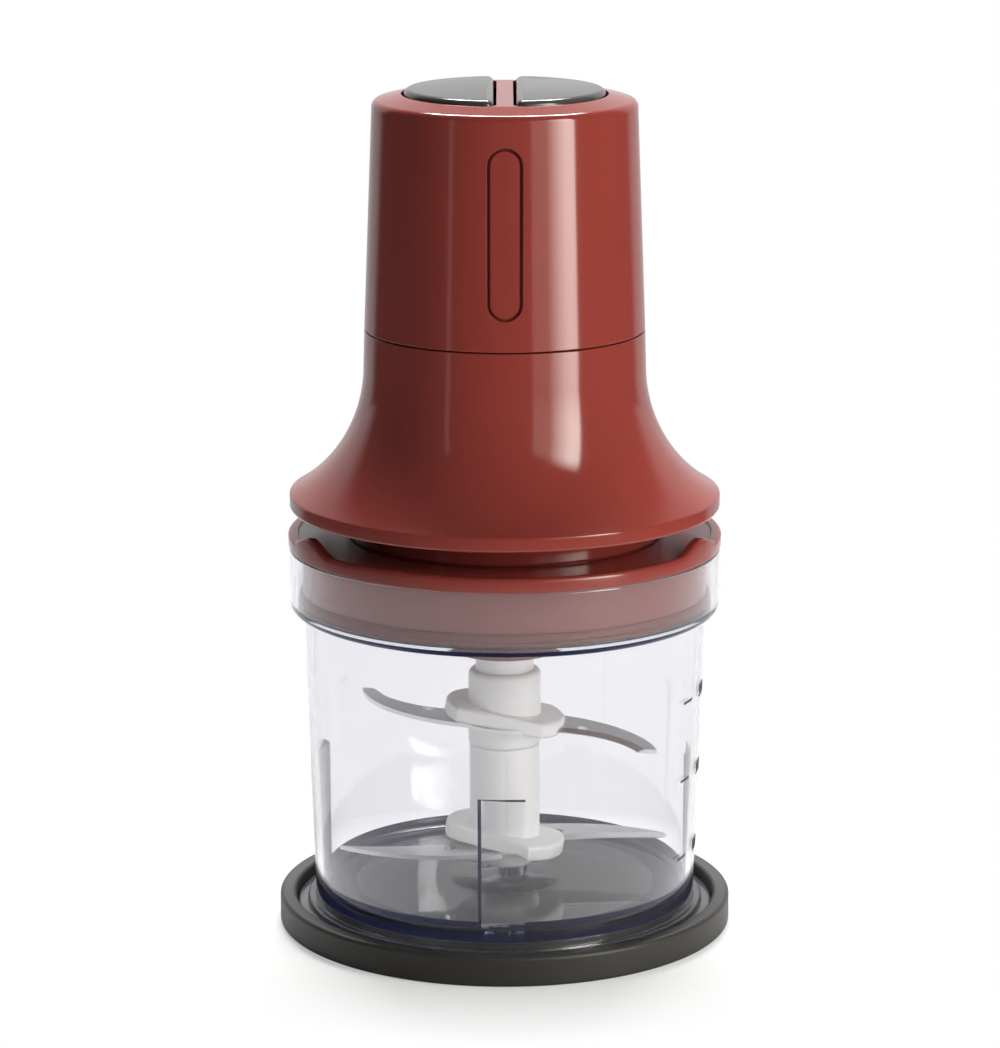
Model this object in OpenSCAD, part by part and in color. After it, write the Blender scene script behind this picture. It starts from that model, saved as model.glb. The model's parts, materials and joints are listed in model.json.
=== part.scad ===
// Electric food chopper: rubber mat, clear bowl, two S-blades on one spindle, lid and motor head.
// Millimetres, +Z up, the front faces -Y, origin under the middle of the mat.

/* [Mat] */
// Height of the rim
mat_h = 8.8; // [6:0.1:12]
// Width of the rim
mat_rim = 4.7; // [3:0.1:8]
// Thickness of the floor
mat_floor = 2.4; // [1.5:0.1:4]
// Rounding of the rim's edges
mat_edge = 1.3; // [0.5:0.1:1.4]

/* [Bowl] */
// Outer diameter of the wall at its foot
bowl_d = 108.8; // [104:0.2:116]
// How far the wall leans out, in radius, up to the collar
bowl_draft = 3; // [1:0.1:4]
// Height inside, floor to rim
bowl_h = 99; // [94:1:115]
// Wall thickness
bowl_wall = 2.2; // [1.8:0.1:3]
// Floor thickness
bowl_floor = 2.4; // [1.8:0.1:3]
// Width of the foot flange
foot_w = 5.5; // [4.5:0.1:8]
// Height of the hollow under the floor
foot_h = 7.3; // [6:0.1:10]
// Thickness of the foot flange
foot_t = 3.1; // [2:0.1:4]
// How far the collar stands out from the wall
collar_step = 3.9; // [3.5:0.1:6]
// Height of the collar
collar_h = 18.9; // [17:0.1:24]
// Wall of the collar
collar_wall = 2.3; // [1.8:0.1:3]
// Thickness of the ledge inside the collar
ledge_t = 2.7; // [2:0.1:4]
// Number of ribs on the wall
rib_count = 4; // [2:1:8]
// Height of the ribs above the floor
rib_h = 38.3; // [20:0.1:60]
// Depth of a rib at its step
rib_depth = 1.8; // [1:0.1:3]
// Angle that a rib spans
rib_span = 14; // [8:1:20]
// Diameter of the post in the middle of the floor
post_d = 10.8; // [9:0.1:14]
// Height of the post above the floor
post_h = 4.8; // [3.5:0.1:8]
// Diameter of the pivot pin
pin_d = 5; // [4:0.1:6]
// Height of the pivot pin above the floor
pin_h = 34; // [20:1:40]

/* [Blades] */
// Diameter of the lower spindle
spindle_d = 20.2; // [18:0.1:24]
// Diameter of the neck that the upper hub slides over
neck_d = 16.6; // [15:0.1:17.4]
// Wall of the upper hub
hub_wall = 2.05; // [1.6:0.05:3]
// Length of the upper hub
hub_h = 22; // [18:0.5:26]
// Height of the lower blade above the spindle's end
low_blade_up = 5.2; // [4.5:0.1:9]
// Height of the upper blade above the hub's end
high_blade_up = 6.3; // [5.5:0.1:10]
// Thickness of the blades
blade_t = 1.2; // [0.8:0.1:1.6]
// Angle of the lower blade's tip, from +X
low_blade_at = 187; // [0:1:359]
// Angle of the upper blade's tip, from +X
high_blade_at = 150; // [0:1:359]
// Lean of the upper blade, left side up
blade_lean = 3.3; // [0:0.1:5]
// Width of the ground edge
grind = 2.2; // [1:0.1:3]
// Room between the blades' tips and the ribs
tip_clear = 1.8; // [1:0.1:6]
// Half the length of a hub's wings
wing_l = 17.3; // [15:0.1:20]
// Half the width of a hub's wings
wing_w = 12; // [11:0.1:13]
// Thickness of the wings
wing_t = 4.6; // [3:0.1:5.4]
// Slant of the wings, left side up
wing_tilt = 10; // [5:1:14]
// Turn of the upper hub's wings, from +X
high_wing_at = -7; // [-40:1:40]
// Turn of the lower hub's wings, from +X
low_wing_at = -25; // [-40:1:40]

/* [Lid] */
// Height of the rim above the bowl
lid_rim_h = 4; // [3:0.1:6]
// Depth of the dish inside the rim
lid_dish = 0.6; // [0.3:0.1:1]
// Thickness of the plate
lid_t = 2.4; // [1.8:0.1:3]
// Gap between the skirt and the collar
skirt_gap = 1.4; // [1:0.1:2]
// Wall of the skirt
skirt_wall = 2.4; // [2:0.1:3]
// Height of the sealing ring
seal_h = 2.6; // [2:0.1:3.2]
// Outer diameter of the well
well_d = 31; // [29:0.5:36]
// Wall of the well
well_wall = 2; // [1.5:0.1:2.5]
// Depth of the well below the bowl's rim
well_depth = 30.9; // [28:0.1:34]
// Height of the humps above the rim
hump_h = 3.3; // [2:0.1:4.5]
// Length of the humps along the rim
hump_l = 22.6; // [16:0.2:28]
// Thickness of the humps
hump_t = 2.6; // [2:0.1:3]
// Angle of the humps from the front
hump_at = 64; // [50:1:75]

/* [Head] */
// Diameter of the boss that stands on the lid
boss_d = 90; // [84:0.5:96]
// Height of the boss
boss_h = 7.7; // [6:0.1:10]
// Height of the lip
lip_h = 4; // [3:0.1:6]
// Height of the flare above the lip
flare_h = 36.5; // [30:0.5:44]
// Diameter of the body above the flare
body_d = 79.8; // [76:0.2:84]
// Height of the straight part up to the seam
straight_h = 10.2; // [6:0.2:16]
// Width of the seam
seam_gap = 0.4; // [0.2:0.1:0.8]
// Diameter at the seam
seam_d = 79.2; // [76:0.2:82]
// Height of the upper housing, seam to top edge
cap_h = 64.2; // [60:0.2:72]
// Diameter at the top edge
top_d = 74.3; // [72:0.1:78]
// Rise of the crown inside the top edge
crown_h = 2; // [1:0.1:3]
// Wall of the housings
shell = 2.5; // [2:0.1:3]
// Rounding of the top edge
top_edge = 1.4; // [0.6:0.1:2]

/* [Inlay] */
// Width of the inlay
inlay_w = 8; // [6:0.1:12]
// Length of the inlay
inlay_l = 45.7; // [30:0.1:50]
// Gap round the inlay
inlay_gap = 0.85; // [0.3:0.05:1.2]
// Depth of its recess
inlay_depth = 1.6; // [1:0.1:1.9]
// Height of its middle above the seam
inlay_up = 32.6; // [28:0.1:36]

/* [Buttons] */
// Diameter of the pair of buttons
button_d = 56.4; // [50:0.2:58]
// Gap round the buttons
button_gap = 0.7; // [0.4:0.05:1]
// Width of the bridge between them
bridge_w = 4.8; // [4:0.1:8]
// Height of the buttons above the crown
button_rise = 1.4; // [0.8:0.1:3]
// Travel
button_travel = 2.5; // [1.5:0.1:3]
// Depth of the buttons
button_depth = 8; // [7:0.1:9]
// Distance of the stems from the bridge's middle
stem_x = 14; // [11:0.5:17]
// Outer diameter of the springs
spring_d = 7.2; // [6:0.1:9]
// Wire of the springs
spring_wire = 0.8; // [0.5:0.05:1]
// Turns of the springs
spring_turns = 6; // [4:1:8]

/* [Drive] */
// Module of the gears
gear_m = 0.8; // [0.7:0.01:0.9]
// Teeth of the sun gear
sun_teeth = 12; // [12:6:18]
// Teeth of a planet gear
planet_teeth = 18; // [18:6:24]
// Face width of the gears
gear_w = 10; // [7:0.5:14]
// Diameter of the planet pins
planet_pin_d = 3; // [2.5:0.1:4]
// Thickness of the carrier
carrier_t = 4.5; // [3.5:0.1:6]
// Diameter of the output shaft
out_shaft_d = 8; // [6:0.1:9]
// Wall of the output bush and the seal
bush_wall = 3.5; // [2.5:0.1:4]
// Depth of the spindle's socket
socket_h = 13; // [10:0.5:16]
// Lobes of the coupling
lobes = 6; // [4:1:8]

/* [Motor] */
// Diameter of the can
can_d = 51; // [48:0.5:56]
// Height of the can
can_h = 47; // [42:0.5:52]
// Wall of the can
can_wall = 1.6; // [1.2:0.1:2.4]
// Diameter of the motor shaft
motor_shaft_d = 6; // [5:0.1:6.6]
// Diameter of the armature
armature_d = 38.8; // [34:0.2:39.6]
// Slots in the armature
armature_slots = 10; // [6:1:14]
// Thickness of the magnets
magnet_t = 3.6; // [2.5:0.1:4]
// Outer diameter of the motor's bearings
bearing_d = 15; // [13:0.5:16]

/* [Cord gland] */
// Diameter of the cord's hole
gland_bore = 6.6; // [5:0.1:8]
// Diameter of the gland's flange
gland_d = 13; // [12:0.2:15]
// Height of the gland above the seam
gland_up = 19; // [12:0.5:26]

/* [Hidden] */
$fn = 96;
seat = 0.1;            // flat faces of two bodies that rest on each other
slip = 0.4;            // round faces of two bodies that slide past each other
run = 0.05;            // running fit, in radius
e = 0.01;
bite = 0.5;            // how far one form is sunk into another of the same piece

// Bowl and mat
z_foot = mat_floor + seat;
z_under = z_foot + foot_h;
z_in = z_under + bowl_floor;
z_rim = z_in + bowl_h;
z_collar = z_rim - collar_h;
z_ledge = z_collar + ledge_t;
function wall_r(z) = bowl_d / 2 + bowl_draft * (z - z_foot) / (z_ledge - z_foot);
foot_r = bowl_d / 2 + foot_w;
mat_in = foot_r + slip;
mat_r = mat_in + mat_rim;
collar_r = wall_r(z_ledge) + collar_step;
collar_in = collar_r - collar_wall;
z_rib = z_in + rib_h;
rib_r = wall_r(z_in) - bowl_wall - rib_depth;
post_r = post_d / 2;
z_post = z_in + post_h;
pin_r = pin_d / 2;
z_pin = z_in - bowl_floor * 0.6;
z_pin_top = z_in + pin_h;

// Lid
z_lid = z_rim + seat;
lid_r = collar_r + 0.3;
z_lid_top = z_lid + lid_rim_h;
z_lid_floor = z_lid_top - lid_dish;
z_lid_under = z_lid_floor - lid_t;
skirt_r = collar_in - skirt_gap;
z_skirt = z_ledge + 0.3;
z_seal = z_skirt + 1.2;
seal_in = 1.2;         // depth of the seal's groove
well_r = well_d / 2;
well_in = well_r - well_wall;
z_well = z_rim - well_depth;
well_floor = 2.1;

// Blade unit
z_spindle = z_post + 0.2;
spindle_r = spindle_d / 2;
neck_r = neck_d / 2;
hub_in = neck_r + run;
hub_r = hub_in + hub_wall;
hub_gap = 5.8;         // from the upper hub to the well
z_hub_top = z_well - hub_gap;
z_hub = z_hub_top - hub_h;
z_spindle_top = z_hub - seat;
z_neck_top = z_well + well_floor + 15.6;
z_low = z_spindle + low_blade_up;
z_high = z_hub + high_blade_up;
wing_up = 2.1;         // wings above the blade's middle
ring_r = neck_r + 5.2; // middle ring of a blade
eye_r = neck_r + 0.7;  // its hole
tip_r = rib_r - tip_clear;
key_w = 3;
key_t = 1;

// Head
z_boss = z_lid_floor + seat;
boss_r = boss_d / 2;
z_lip = z_boss + boss_h;
lip_r = lid_r - 0.5;
z_lip_top = z_lip + lip_h;
z_flare = z_lip_top + flare_h;
body_r = body_d / 2;
flare_r = (pow(lip_r - body_r, 2) + pow(flare_h, 2)) / (2 * (lip_r - body_r));
z_seam = z_flare + straight_h;
seam_r = seam_d / 2;
z_cap = z_seam + seam_gap;
z_edge = z_cap + cap_h;
top_r = top_d / 2;
z_crown = z_edge + crown_h;
function cap_r(z) = seam_r + (top_r - seam_r) * (z - z_cap) / (z_edge - z_cap);
tongue_h = 5;          // the lower housing's tongue inside the upper one
tongue_r = cap_r(z_cap + tongue_h) - shell - seat;
screw_r = 1.45;
screw_head_r = 2.7;
screw_at = boss_r - shell - 4.4;
screw_up = 10;

// Buttons and switches
button_r = button_d / 2;
button_x = bridge_w / 2 + button_gap;
hole_r = button_r + button_gap;
z_button = z_crown + button_rise;
z_button_low = z_button - button_depth;
z_crown_under = z_crown - shell;
stop_h = 1.4;          // flange that holds a button in
stop_w = 1.2;
button_wall = 1.8;
dome_r = 500;
switch_h = 8.5;
switch_l = 18;
switch_w = 6.4;
switch_y = -7;
spring_y = 8;
plunger_r = 1.5;
plunger_in = 3.2;      // plunger inside the switch at rest
z_plate = z_edge - 22.5;
plate_t = 2;
z_plate_top = z_plate + plate_t;
z_switch_top = z_plate_top + switch_h;
z_stem = z_switch_top + button_travel + 0.3;
z_spring = z_plate_top + 7;
spring_post_r = spring_d / 2 - spring_wire - 0.5;
z_button_under = z_button - button_wall - 1;
lug_in = hole_r + stop_w + slip;
lug_a = 10;            // angle that each lug for the switch plate takes up
plate_r = cap_r(z_plate_top) - shell - slip;
plate_hole_at = lug_in + 1.9;
plate_screw_l = 6;     // plate screws in the lugs
tab_gap = 6;         // between a switch's terminals
tab_drop = 3;        // terminals below the plate
slot_l = 2 * tab_gap + 4;
slot_w = 4;
board_drop = 3;
board_l = 44;
board_w = 30;
board_t = 1.6;
rectifier = [10, 3.6, 5.4];
rectifier_y = -8;
capacitor_r = 4;
capacitor_h = 6.4;
capacitor_y = 6;
terminals = [4, 10, 5.4];
terminals_y = -9;

// Drive
ring_teeth = sun_teeth + 2 * planet_teeth;
gear_a = gear_m * (sun_teeth + planet_teeth) / 2;
press_angle = 25;
gear_add = 0.9 * gear_m;
gear_ded = 1.2 * gear_m;
backlash = 0.06;
ring_root = gear_m * ring_teeth / 2 + gear_ded;
ring_r_out = ring_root + 2.9;
case_r = ring_r_out + 5;
z_case = z_boss + 2.2;
boss_t = z_case - z_boss;
case_t = 2.5;
z_carrier = z_case + case_t + 0.5;
z_gear = z_carrier + carrier_t + 0.6;
z_gear_top = z_gear + gear_w;
z_case_top = z_gear_top + 2;
out_r = out_shaft_d / 2;
bush_r = out_r + bush_wall;
spigot_r = well_in - 0.9;
z_spigot = z_neck_top + 3;
spigot_lip = 0.6;
seal_t = 3.2;
z_bush = z_spigot + spigot_lip + seal_t + 0.2;
z_socket = z_neck_top - socket_h;
z_coupling = z_socket + 1;
coupling_r = 3.9;
lobe_r = 1.3;
lobe_at = 4.2;
coupling_fit = 0.25;
stub_r = 2.5;

// Motor
mplate_t = 3;
z_mplate_top = z_case_top + mplate_t;
flange_r = case_r + 4.5;
flange_h = 5;
mscrew_at = case_r + 1.1;
can_r = can_d / 2;
can_in = can_r - can_wall;
z_can = z_mplate_top;
z_bell = z_can + can_h;
bell_h = 12;
z_bell_top = z_bell + bell_h;
mshaft_r = motor_shaft_d / 2;
sun_bore = 2.5;
bearing_r = bearing_d / 2;
bearing_h = 5;
boss_wall = 2;
armature_r = armature_d / 2;
arm_low = 12;          // armature above the can's floor
arm_high = 7;          // and below its top
z_arm = z_can + arm_low;
arm_h = can_h - arm_low - arm_high;
slot_in = 5;           // centres of the winding slots below the armature's face
coil_up = 5;           // windings above and below the armature
coil_down = 4;
comm_r = 8;
comm_h = 7.5;
z_comm = z_bell + 0.9;
brush_w = 5;
brush_l = 9;

// Gland
z_gland = z_seam + gland_up;
gland_r = gland_d / 2;
gland_neck = gland_bore / 2 + 1.4;
gland_y = cap_r(z_gland) + 1.2;

function unit(v) = v / norm(v);
function at(r, a) = [r * cos(a), r * sin(a)];

// What a round of radius f takes off the corner p, whose sides run towards a and b
module corner_off(p, a, b, f) {
    u = unit(a - p);
    v = unit(b - p);
    half = acos(u * v) / 2;
    c = p + unit(u + v) * f / sin(half);
    difference() {
        polygon([p + u * f / tan(half), p + (p - c), p + v * f / tan(half), c]);
        translate(c) circle(f);
    }
}

// Rectangle from (x0, y0) to (x1, y1) with its own round on each corner
module rrect(x0, y0, x1, y1, bl = 0, br = 0, tr = 0, tl = 0) {
    difference() {
        translate([x0, y0]) square([x1 - x0, y1 - y0]);
        if (bl > 0) corner_off([x0, y0], [x1, y0], [x0, y1], bl);
        if (br > 0) corner_off([x1, y0], [x0, y0], [x1, y1], br);
        if (tr > 0) corner_off([x1, y1], [x0, y1], [x1, y0], tr);
        if (tl > 0) corner_off([x0, y1], [x1, y1], [x0, y0], tl);
    }
}

module ring(r0, r1, z0, z1) {
    rotate_extrude() translate([r0, z0]) square([r1 - r0, z1 - z0]);
}

module rod(r, z0, z1) {
    translate([0, 0, z0]) cylinder(r = r, h = z1 - z0);
}

module polar(n, r, start = 0) {
    for (i = [0:n - 1]) rotate(start + i * 360 / n) translate([r, 0, 0]) children();
}

// Angle from a flank's foot on the base circle to its point at radius r
function involute(rb, r) = let (a = acos(min(1, rb / r))) tan(a) * 180 / PI - a;

// Outline of a gear, or of the space inside a ring gear when the slack is negative
function gear_points(teeth, r_low, r_high, slack) =
    let (rp = gear_m * teeth / 2,
         rb = rp * cos(press_angle),
         steps = 3,
         half = 90 / teeth - slack / rp * 180 / PI + involute(rb, rp),
         radii = [for (k = [0:steps]) r_low + (r_high - r_low) * k / steps])
    [for (i = [0:teeth - 1], s = [-1, 1], k = [0:steps])
        let (r = radii[s < 0 ? k : steps - k])
        at(r, i * 360 / teeth + s * (half - involute(rb, max(r, rb))))];

module gear(teeth) {
    rp = gear_m * teeth / 2;
    polygon(gear_points(teeth, rp - gear_ded, rp + gear_add, backlash));
}

module base_mat() color("#4b4846") rotate_extrude() {
    translate([0, 0]) square([mat_in + bite, mat_floor]);
    rrect(mat_in, 0, mat_r, mat_h, br = mat_edge, tr = mat_edge, tl = mat_edge);
}

// Outline of the bowl's wall, moved in by t
function wall_line(t, z0, z1) = [[0, z0], [wall_r(z0) - t, z0], [wall_r(z1) - t, z1], [0, z1]];

module bowl_profile() {
    difference() {
        polygon(wall_line(0, z_foot, z_ledge));
        polygon(wall_line(bowl_wall, z_foot - 1, z_under));
        polygon(wall_line(bowl_wall, z_in, z_ledge + 1));
    }
    root = wall_r(z_foot) - bowl_wall / 2;
    rrect(root, z_foot, foot_r, z_foot + foot_t, tr = 0.8);
    rrect(root, z_foot, bowl_d / 2 + foot_w * 0.45, z_foot + foot_t + 1.8, tr = 0.8);
    rrect(wall_r(z_collar) - bowl_wall / 2, z_collar, collar_r, z_ledge, br = collar_step * 0.7);
    rrect(collar_in, z_collar, collar_r, z_rim, br = collar_step * 0.7, tr = 0.7, tl = 0.7);
    // Fillet round the floor
    fillet = 3;
    fillet_r = wall_r(z_in) - bowl_wall - fillet;
    difference() {
        translate([fillet_r, z_in - bite]) square([fillet + bite, fillet + bite]);
        translate([fillet_r, z_in + fillet]) circle(fillet);
    }
    // Low cone and post in the middle
    polygon([[0, z_in - bite], [post_r + 11, z_in - bite], [post_r + 11, z_in],
             [post_r + 1.6, z_in + 1.5], [0, z_in + 1.5]]);
    rrect(0, z_in - bite, post_r, z_post, tr = 0.8);
}

// A wedge on the inside of the wall: a step on one side, fading on the other
module bowl_rib() {
    r = wall_r(z_in) - bowl_wall;
    intersection() {
        translate([0, 0, z_in - bite]) linear_extrude(rib_h + bite)
            polygon([at(foot_r, -rib_span / 2), at(rib_r, -rib_span / 2), at(r, rib_span / 2),
                     at(foot_r, rib_span / 2)]);
        rotate_extrude() polygon(wall_line(bowl_wall / 2, z_in - bite, z_rib));
    }
}

module bowl() color("#dfe6f2", 0.45) difference() {
    union() {
        rotate_extrude() bowl_profile();
        for (i = [0:rib_count - 1]) rotate(-91 + i * 360 / rib_count) bowl_rib();
    }
    rod(pin_r, z_pin, z_post + 1);
}

module pivot_pin() color("#b9bcc0") rotate_extrude()
    rrect(0, z_pin, pin_r, z_pin_top, tr = pin_r * 0.4);

// Plan of one arm with its tip at radius r on +X: the back is one arc, the ground edge another
module arm(r, back_arc, back_top, edge_arc, edge_x, edge_top, cut) {
    difference() {
        translate([r - sqrt(pow(back_arc, 2) - pow(back_arc - back_top, 2)), back_top - back_arc])
            circle(back_arc);
        translate([edge_x, edge_top - edge_arc]) circle(edge_arc);
        translate([r, 0]) rotate(cut) translate([-r, -2 * r]) square([2 * r, 2 * r]);
        translate([-2 * r, -2 * r]) square([2 * r, 4 * r]);
        translate([-2 * r, -2 * r - ring_r / 2]) square([4 * r, 2 * r]);
    }
}

module s_blade(r, back_arc, back_top, edge_arc, edge_x, edge_top, cut, eyelet) {
    difference() {
        linear_extrude(blade_t, center = true) difference() {
            union() {
                circle(ring_r);
                for (s = [0, 180])
                    rotate(s) arm(r, back_arc, back_top, edge_arc, edge_x, edge_top, cut);
            }
            circle(eye_r);
            for (s = [0, 180]) rotate(s) translate(eyelet) circle(1.7);
        }
        // Ground edge: a cone along the edge's own arc, clear of the middle ring
        for (s = [0, 180]) rotate(s) intersection() {
            translate([edge_x, edge_top - edge_arc, -blade_t / 2 + 0.25])
                cylinder(r1 = edge_arc - e, r2 = edge_arc + grind, h = blade_t);
            translate([ring_r + 3, -r, -r]) cube(2 * r);
        }
    }
}

module lower_blade_form() translate([0, 0, z_low]) rotate(low_blade_at)
    s_blade(tip_r - 1.2, 45.9, 13.8, 85, 26.5, 1.4, 20, at(17.7, 21.5));

module upper_blade_form() translate([0, 0, z_high]) rotate([0, blade_lean, 0]) rotate(high_blade_at)
    s_blade(tip_r, 37.3, 15, 24, 28.6, 3.2, 33, at(23, 15.5));

module lower_blade() color("#a9acb0") lower_blade_form();

module upper_blade() color("#a9acb0") upper_blade_form();

// Round plate with two straight sides that grips a blade: higher on the left, lower on the right
module wings(z, turn) {
    translate([0, 0, z + wing_up]) rotate([0, wing_tilt, 0]) rotate(turn)
        linear_extrude(wing_t, center = true) intersection() {
            circle(wing_l);
            square([3 * wing_l, 2 * wing_w], center = true);
        }
}

// Lobed outline of the coupling, grown by the fit for its socket
module lobed(fit) {
    circle(coupling_r + fit);
    for (i = [0:lobes - 1]) rotate(i * 360 / lobes) translate([lobe_at, 0]) circle(lobe_r + fit);
}

module key(fit) {
    translate([-key_w / 2 - fit, neck_r - 1, z_hub + hub_h / 2])
        cube([key_w + 2 * fit, 1 + key_t + fit, hub_h / 2 - 3 + fit]);
}

module blade_spindle() color("#f2f2ee") difference() {
    union() {
        rotate_extrude() {
            rrect(0, z_spindle, spindle_r, z_spindle_top, br = 2.2, tr = 0.6);
            rrect(0, z_spindle_top - bite, neck_r, z_neck_top, tr = 0.8);
        }
        wings(z_low, low_wing_at);
        key(0);
    }
    rod(pin_r + run, z_spindle - 5, z_pin_top + 0.3);
    translate([0, 0, z_socket]) linear_extrude(socket_h + 1) lobed(coupling_fit);
    lower_blade_form();
}

module upper_hub() color("#f2f2ee") difference() {
    union() {
        rotate_extrude() rrect(hub_in, z_hub, hub_r, z_hub_top, br = 0.8, tr = hub_wall * 0.8);
        difference() {
            wings(z_high, high_wing_at);
            rod(hub_in + hub_wall / 2, z_hub - 20, z_hub_top + 20);
        }
    }
    upper_blade_form();
    key(run);
}

module lid_profile() {
    rrect(lid_r - 3, z_lid, lid_r, z_lid_top, br = 0.4, tr = 1.2, tl = 0.4);
    translate([well_in, z_lid_under]) square([lid_r - 2 - well_in, lid_t]);
    difference() {
        rrect(skirt_r - skirt_wall, z_skirt, skirt_r, z_lid_under + bite, br = 0.5);
        translate([skirt_r - seal_in, z_seal]) square([seal_in + 1, seal_h]);
    }
    // Well that the head's spigot drops into
    rrect(well_in, z_well, well_r, z_lid_under + bite, br = 0.6);
    rrect(neck_r + 0.6, z_well, well_in + bite, z_well + well_floor);
    rrect(well_r - bite, z_well + well_floor, well_r + 0.9, z_well + well_floor + 1.4, br = 0.4, tr = 0.4);
}

// Round-topped hump on the rim
module lid_hump() {
    arc = (pow(hump_l / 2, 2) + pow(hump_h, 2)) / (2 * hump_h);
    intersection() {
        rotate_extrude() rrect(lid_r - hump_t, z_lid_top - 2, lid_r - e, z_lid_top + hump_h + 1);
        translate([lid_r, 0, z_lid_top + hump_h - arc]) rotate([0, 90, 0])
            cylinder(r = arc, h = 4 * hump_t, center = true);
    }
}

module lid() color("#9c2a22") {
    rotate_extrude() lid_profile();
    for (s = [-1, 1], y = [-1, 1]) rotate(y * 90 + s * hump_at) lid_hump();
}

module lid_seal() color("#7d211c") rotate_extrude()
    rrect(skirt_r - seal_in, z_seal, collar_in - 0.3, z_seal + seal_h, br = 0.8, tr = 0.8);

module screw_places() {
    polar(4, screw_at, 45) children();
}

module head_base() color("#8a241d") difference() {
    union() {
        rotate_extrude() {
            rrect(boss_r - shell, z_boss, boss_r, z_lip, br = 0.8);
            translate([spigot_r - bite, z_boss]) square([boss_r - spigot_r, boss_t]);
            rrect(bush_r, z_spigot, spigot_r, z_case, br = 0.8);
            translate([out_r + 0.8, z_spigot]) square([spigot_r - 1 - out_r - 0.8, spigot_lip]);
            // Ring that centres the gear case
            translate([case_r + run, z_case - bite]) square([2, 3 + bite]);
        }
        screw_places() rod(4, z_case - bite, z_lip);
    }
    screw_places() {
        rod(screw_r + 0.2, z_boss - 1, z_lip + 1);
        rod(screw_head_r + 0.2, z_boss - 1, z_boss + 2.4);
    }
}

// Area inside the lower housing's outer surface, moved in by t
module flare_area(t, low) {
    c = [body_r + flare_r, z_flare];
    difference() {
        translate([0, low]) square([lip_r - t, z_flare - low]);
        translate(c) circle(flare_r + t);
    }
    in_r = body_r - t;
    polygon([[0, z_flare - e], [in_r, z_flare - e], [in_r, z_flare], [seam_r - t, z_seam], [0, z_seam]]);
}

module lower_housing_profile() {
    f = 0.9;
    c = [body_r + flare_r, z_flare];
    // Centre of the round on the lip's upper edge: touches the lip's wall and the flare
    o = [lip_r - f, z_flare - sqrt(pow(flare_r + f, 2) - pow(body_r + flare_r - lip_r + f, 2))];
    t = c + (o - c) * flare_r / (flare_r + f);
    difference() {
        flare_area(0, z_lip);
        corner_off([lip_r, z_lip], [0, z_lip], [lip_r, z_seam], 1.2);
        difference() {
            polygon([t, [t[0], t[1] + 4], [lip_r + 4, t[1] + 4], [lip_r + 4, o[1]], [lip_r, o[1]], o]);
            translate(o) circle(f);
        }
        flare_area(shell, z_lip + shell);
        translate([0, z_lip - 1]) square([screw_at - 4.6, z_seam - z_lip + 2]);
    }
    // Tongue inside the upper housing, and its step out to the wall
    rrect(tongue_r - 2.2, z_seam - tongue_h - 1, tongue_r, z_cap + tongue_h, tr = 0.6);
    translate([tongue_r - 1, z_seam - tongue_h - 1])
        square([seam_r - shell / 2 - tongue_r + 1, tongue_h + 1]);
}

module lower_housing() color("#a32c23") difference() {
    union() {
        rotate_extrude() lower_housing_profile();
        screw_places() rod(4.2, z_lip, z_lip + screw_up + 2);
    }
    screw_places() rod(screw_r, z_lip - 1, z_lip + screw_up);
}

// Area inside the upper housing's outer surface, moved in by t
module cap_area(t) {
    edge = [top_r - t, z_edge - t];
    crown = [hole_r, z_crown - t];
    foot = [cap_r(z_cap) - t, z_cap - (t > 0 ? 1 : 0)];
    difference() {
        polygon([[0, foot[1]], foot, edge, crown, [0, crown[1]]]);
        corner_off(edge, foot, crown, max(0.3, top_edge - t / 2));
    }
}

module racetrack(w, l) {
    square([w, l - w], center = true);
    for (s = [-1, 1]) translate([0, s * (l - w) / 2]) circle(w / 2);
}

// A layer of the upper housing's wall under a racetrack on its front
module front_patch(w, l, depth) {
    intersection() {
        translate([0, 0, z_seam + inlay_up]) rotate([90, 0, 0]) linear_extrude(seam_r + 5) racetrack(w, l);
        rotate_extrude() difference() {
            polygon([[0, z_cap], [seam_r, z_cap], [top_r, z_edge], [0, z_edge]]);
            polygon([[0, z_cap - 1], [cap_r(z_cap - 1) - depth, z_cap - 1],
                     [cap_r(z_edge + 1) - depth, z_edge + 1], [0, z_edge + 1]]);
        }
    }
}

module half_moon(r, x) {
    difference() {
        circle(r);
        translate([-r - 1, -r - 1]) square([r + 1 + x, 2 * r + 2]);
    }
}

module sides() {
    children();
    mirror([1, 0, 0]) children();
}

module upper_housing() color("#a32c23") difference() {
    union() {
        rotate_extrude() difference() {
            cap_area(0);
            cap_area(shell);
        }
        // Bridge between the buttons, lugs for the switch plate, pad for the gland
        intersection() {
            translate([-bridge_w / 2, -hole_r - 2, z_crown - 7]) cube([bridge_w, 2 * hole_r + 4, 7]);
            rotate_extrude() cap_area(shell / 2);
        }
        polar(4, 0, 45 - lug_a / 2) rotate_extrude(angle = lug_a)
            rrect(lug_in, z_plate_top, top_r - 0.4 * shell, z_edge - shell / 3);
        difference() {
            translate([0, gland_y, z_gland]) rotate([90, 0, 0]) cylinder(r = gland_r + 1.2, h = shell + 2);
            rotate_extrude() polygon([[0, z_cap], [cap_r(z_cap) - shell, z_cap],
                                      [cap_r(z_edge) - shell, z_edge], [0, z_edge]]);
        }
    }
    sides() translate([0, 0, z_crown - 4 * shell]) linear_extrude(6 * shell)
        half_moon(hole_r, bridge_w / 2);
    front_patch(inlay_w + 2 * inlay_gap, inlay_l + 2 * inlay_gap, inlay_depth);
    translate([0, gland_y + 1, z_gland]) rotate([90, 0, 0]) cylinder(r = gland_neck, h = 3 * shell + 4);
    polar(4, plate_hole_at, 45) rod(1.1, z_plate_top - 1, z_plate_top + plate_screw_l + 1);
}

module grip_inlay() color("#a32c23")
    front_patch(inlay_w, inlay_l, inlay_depth);

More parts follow.
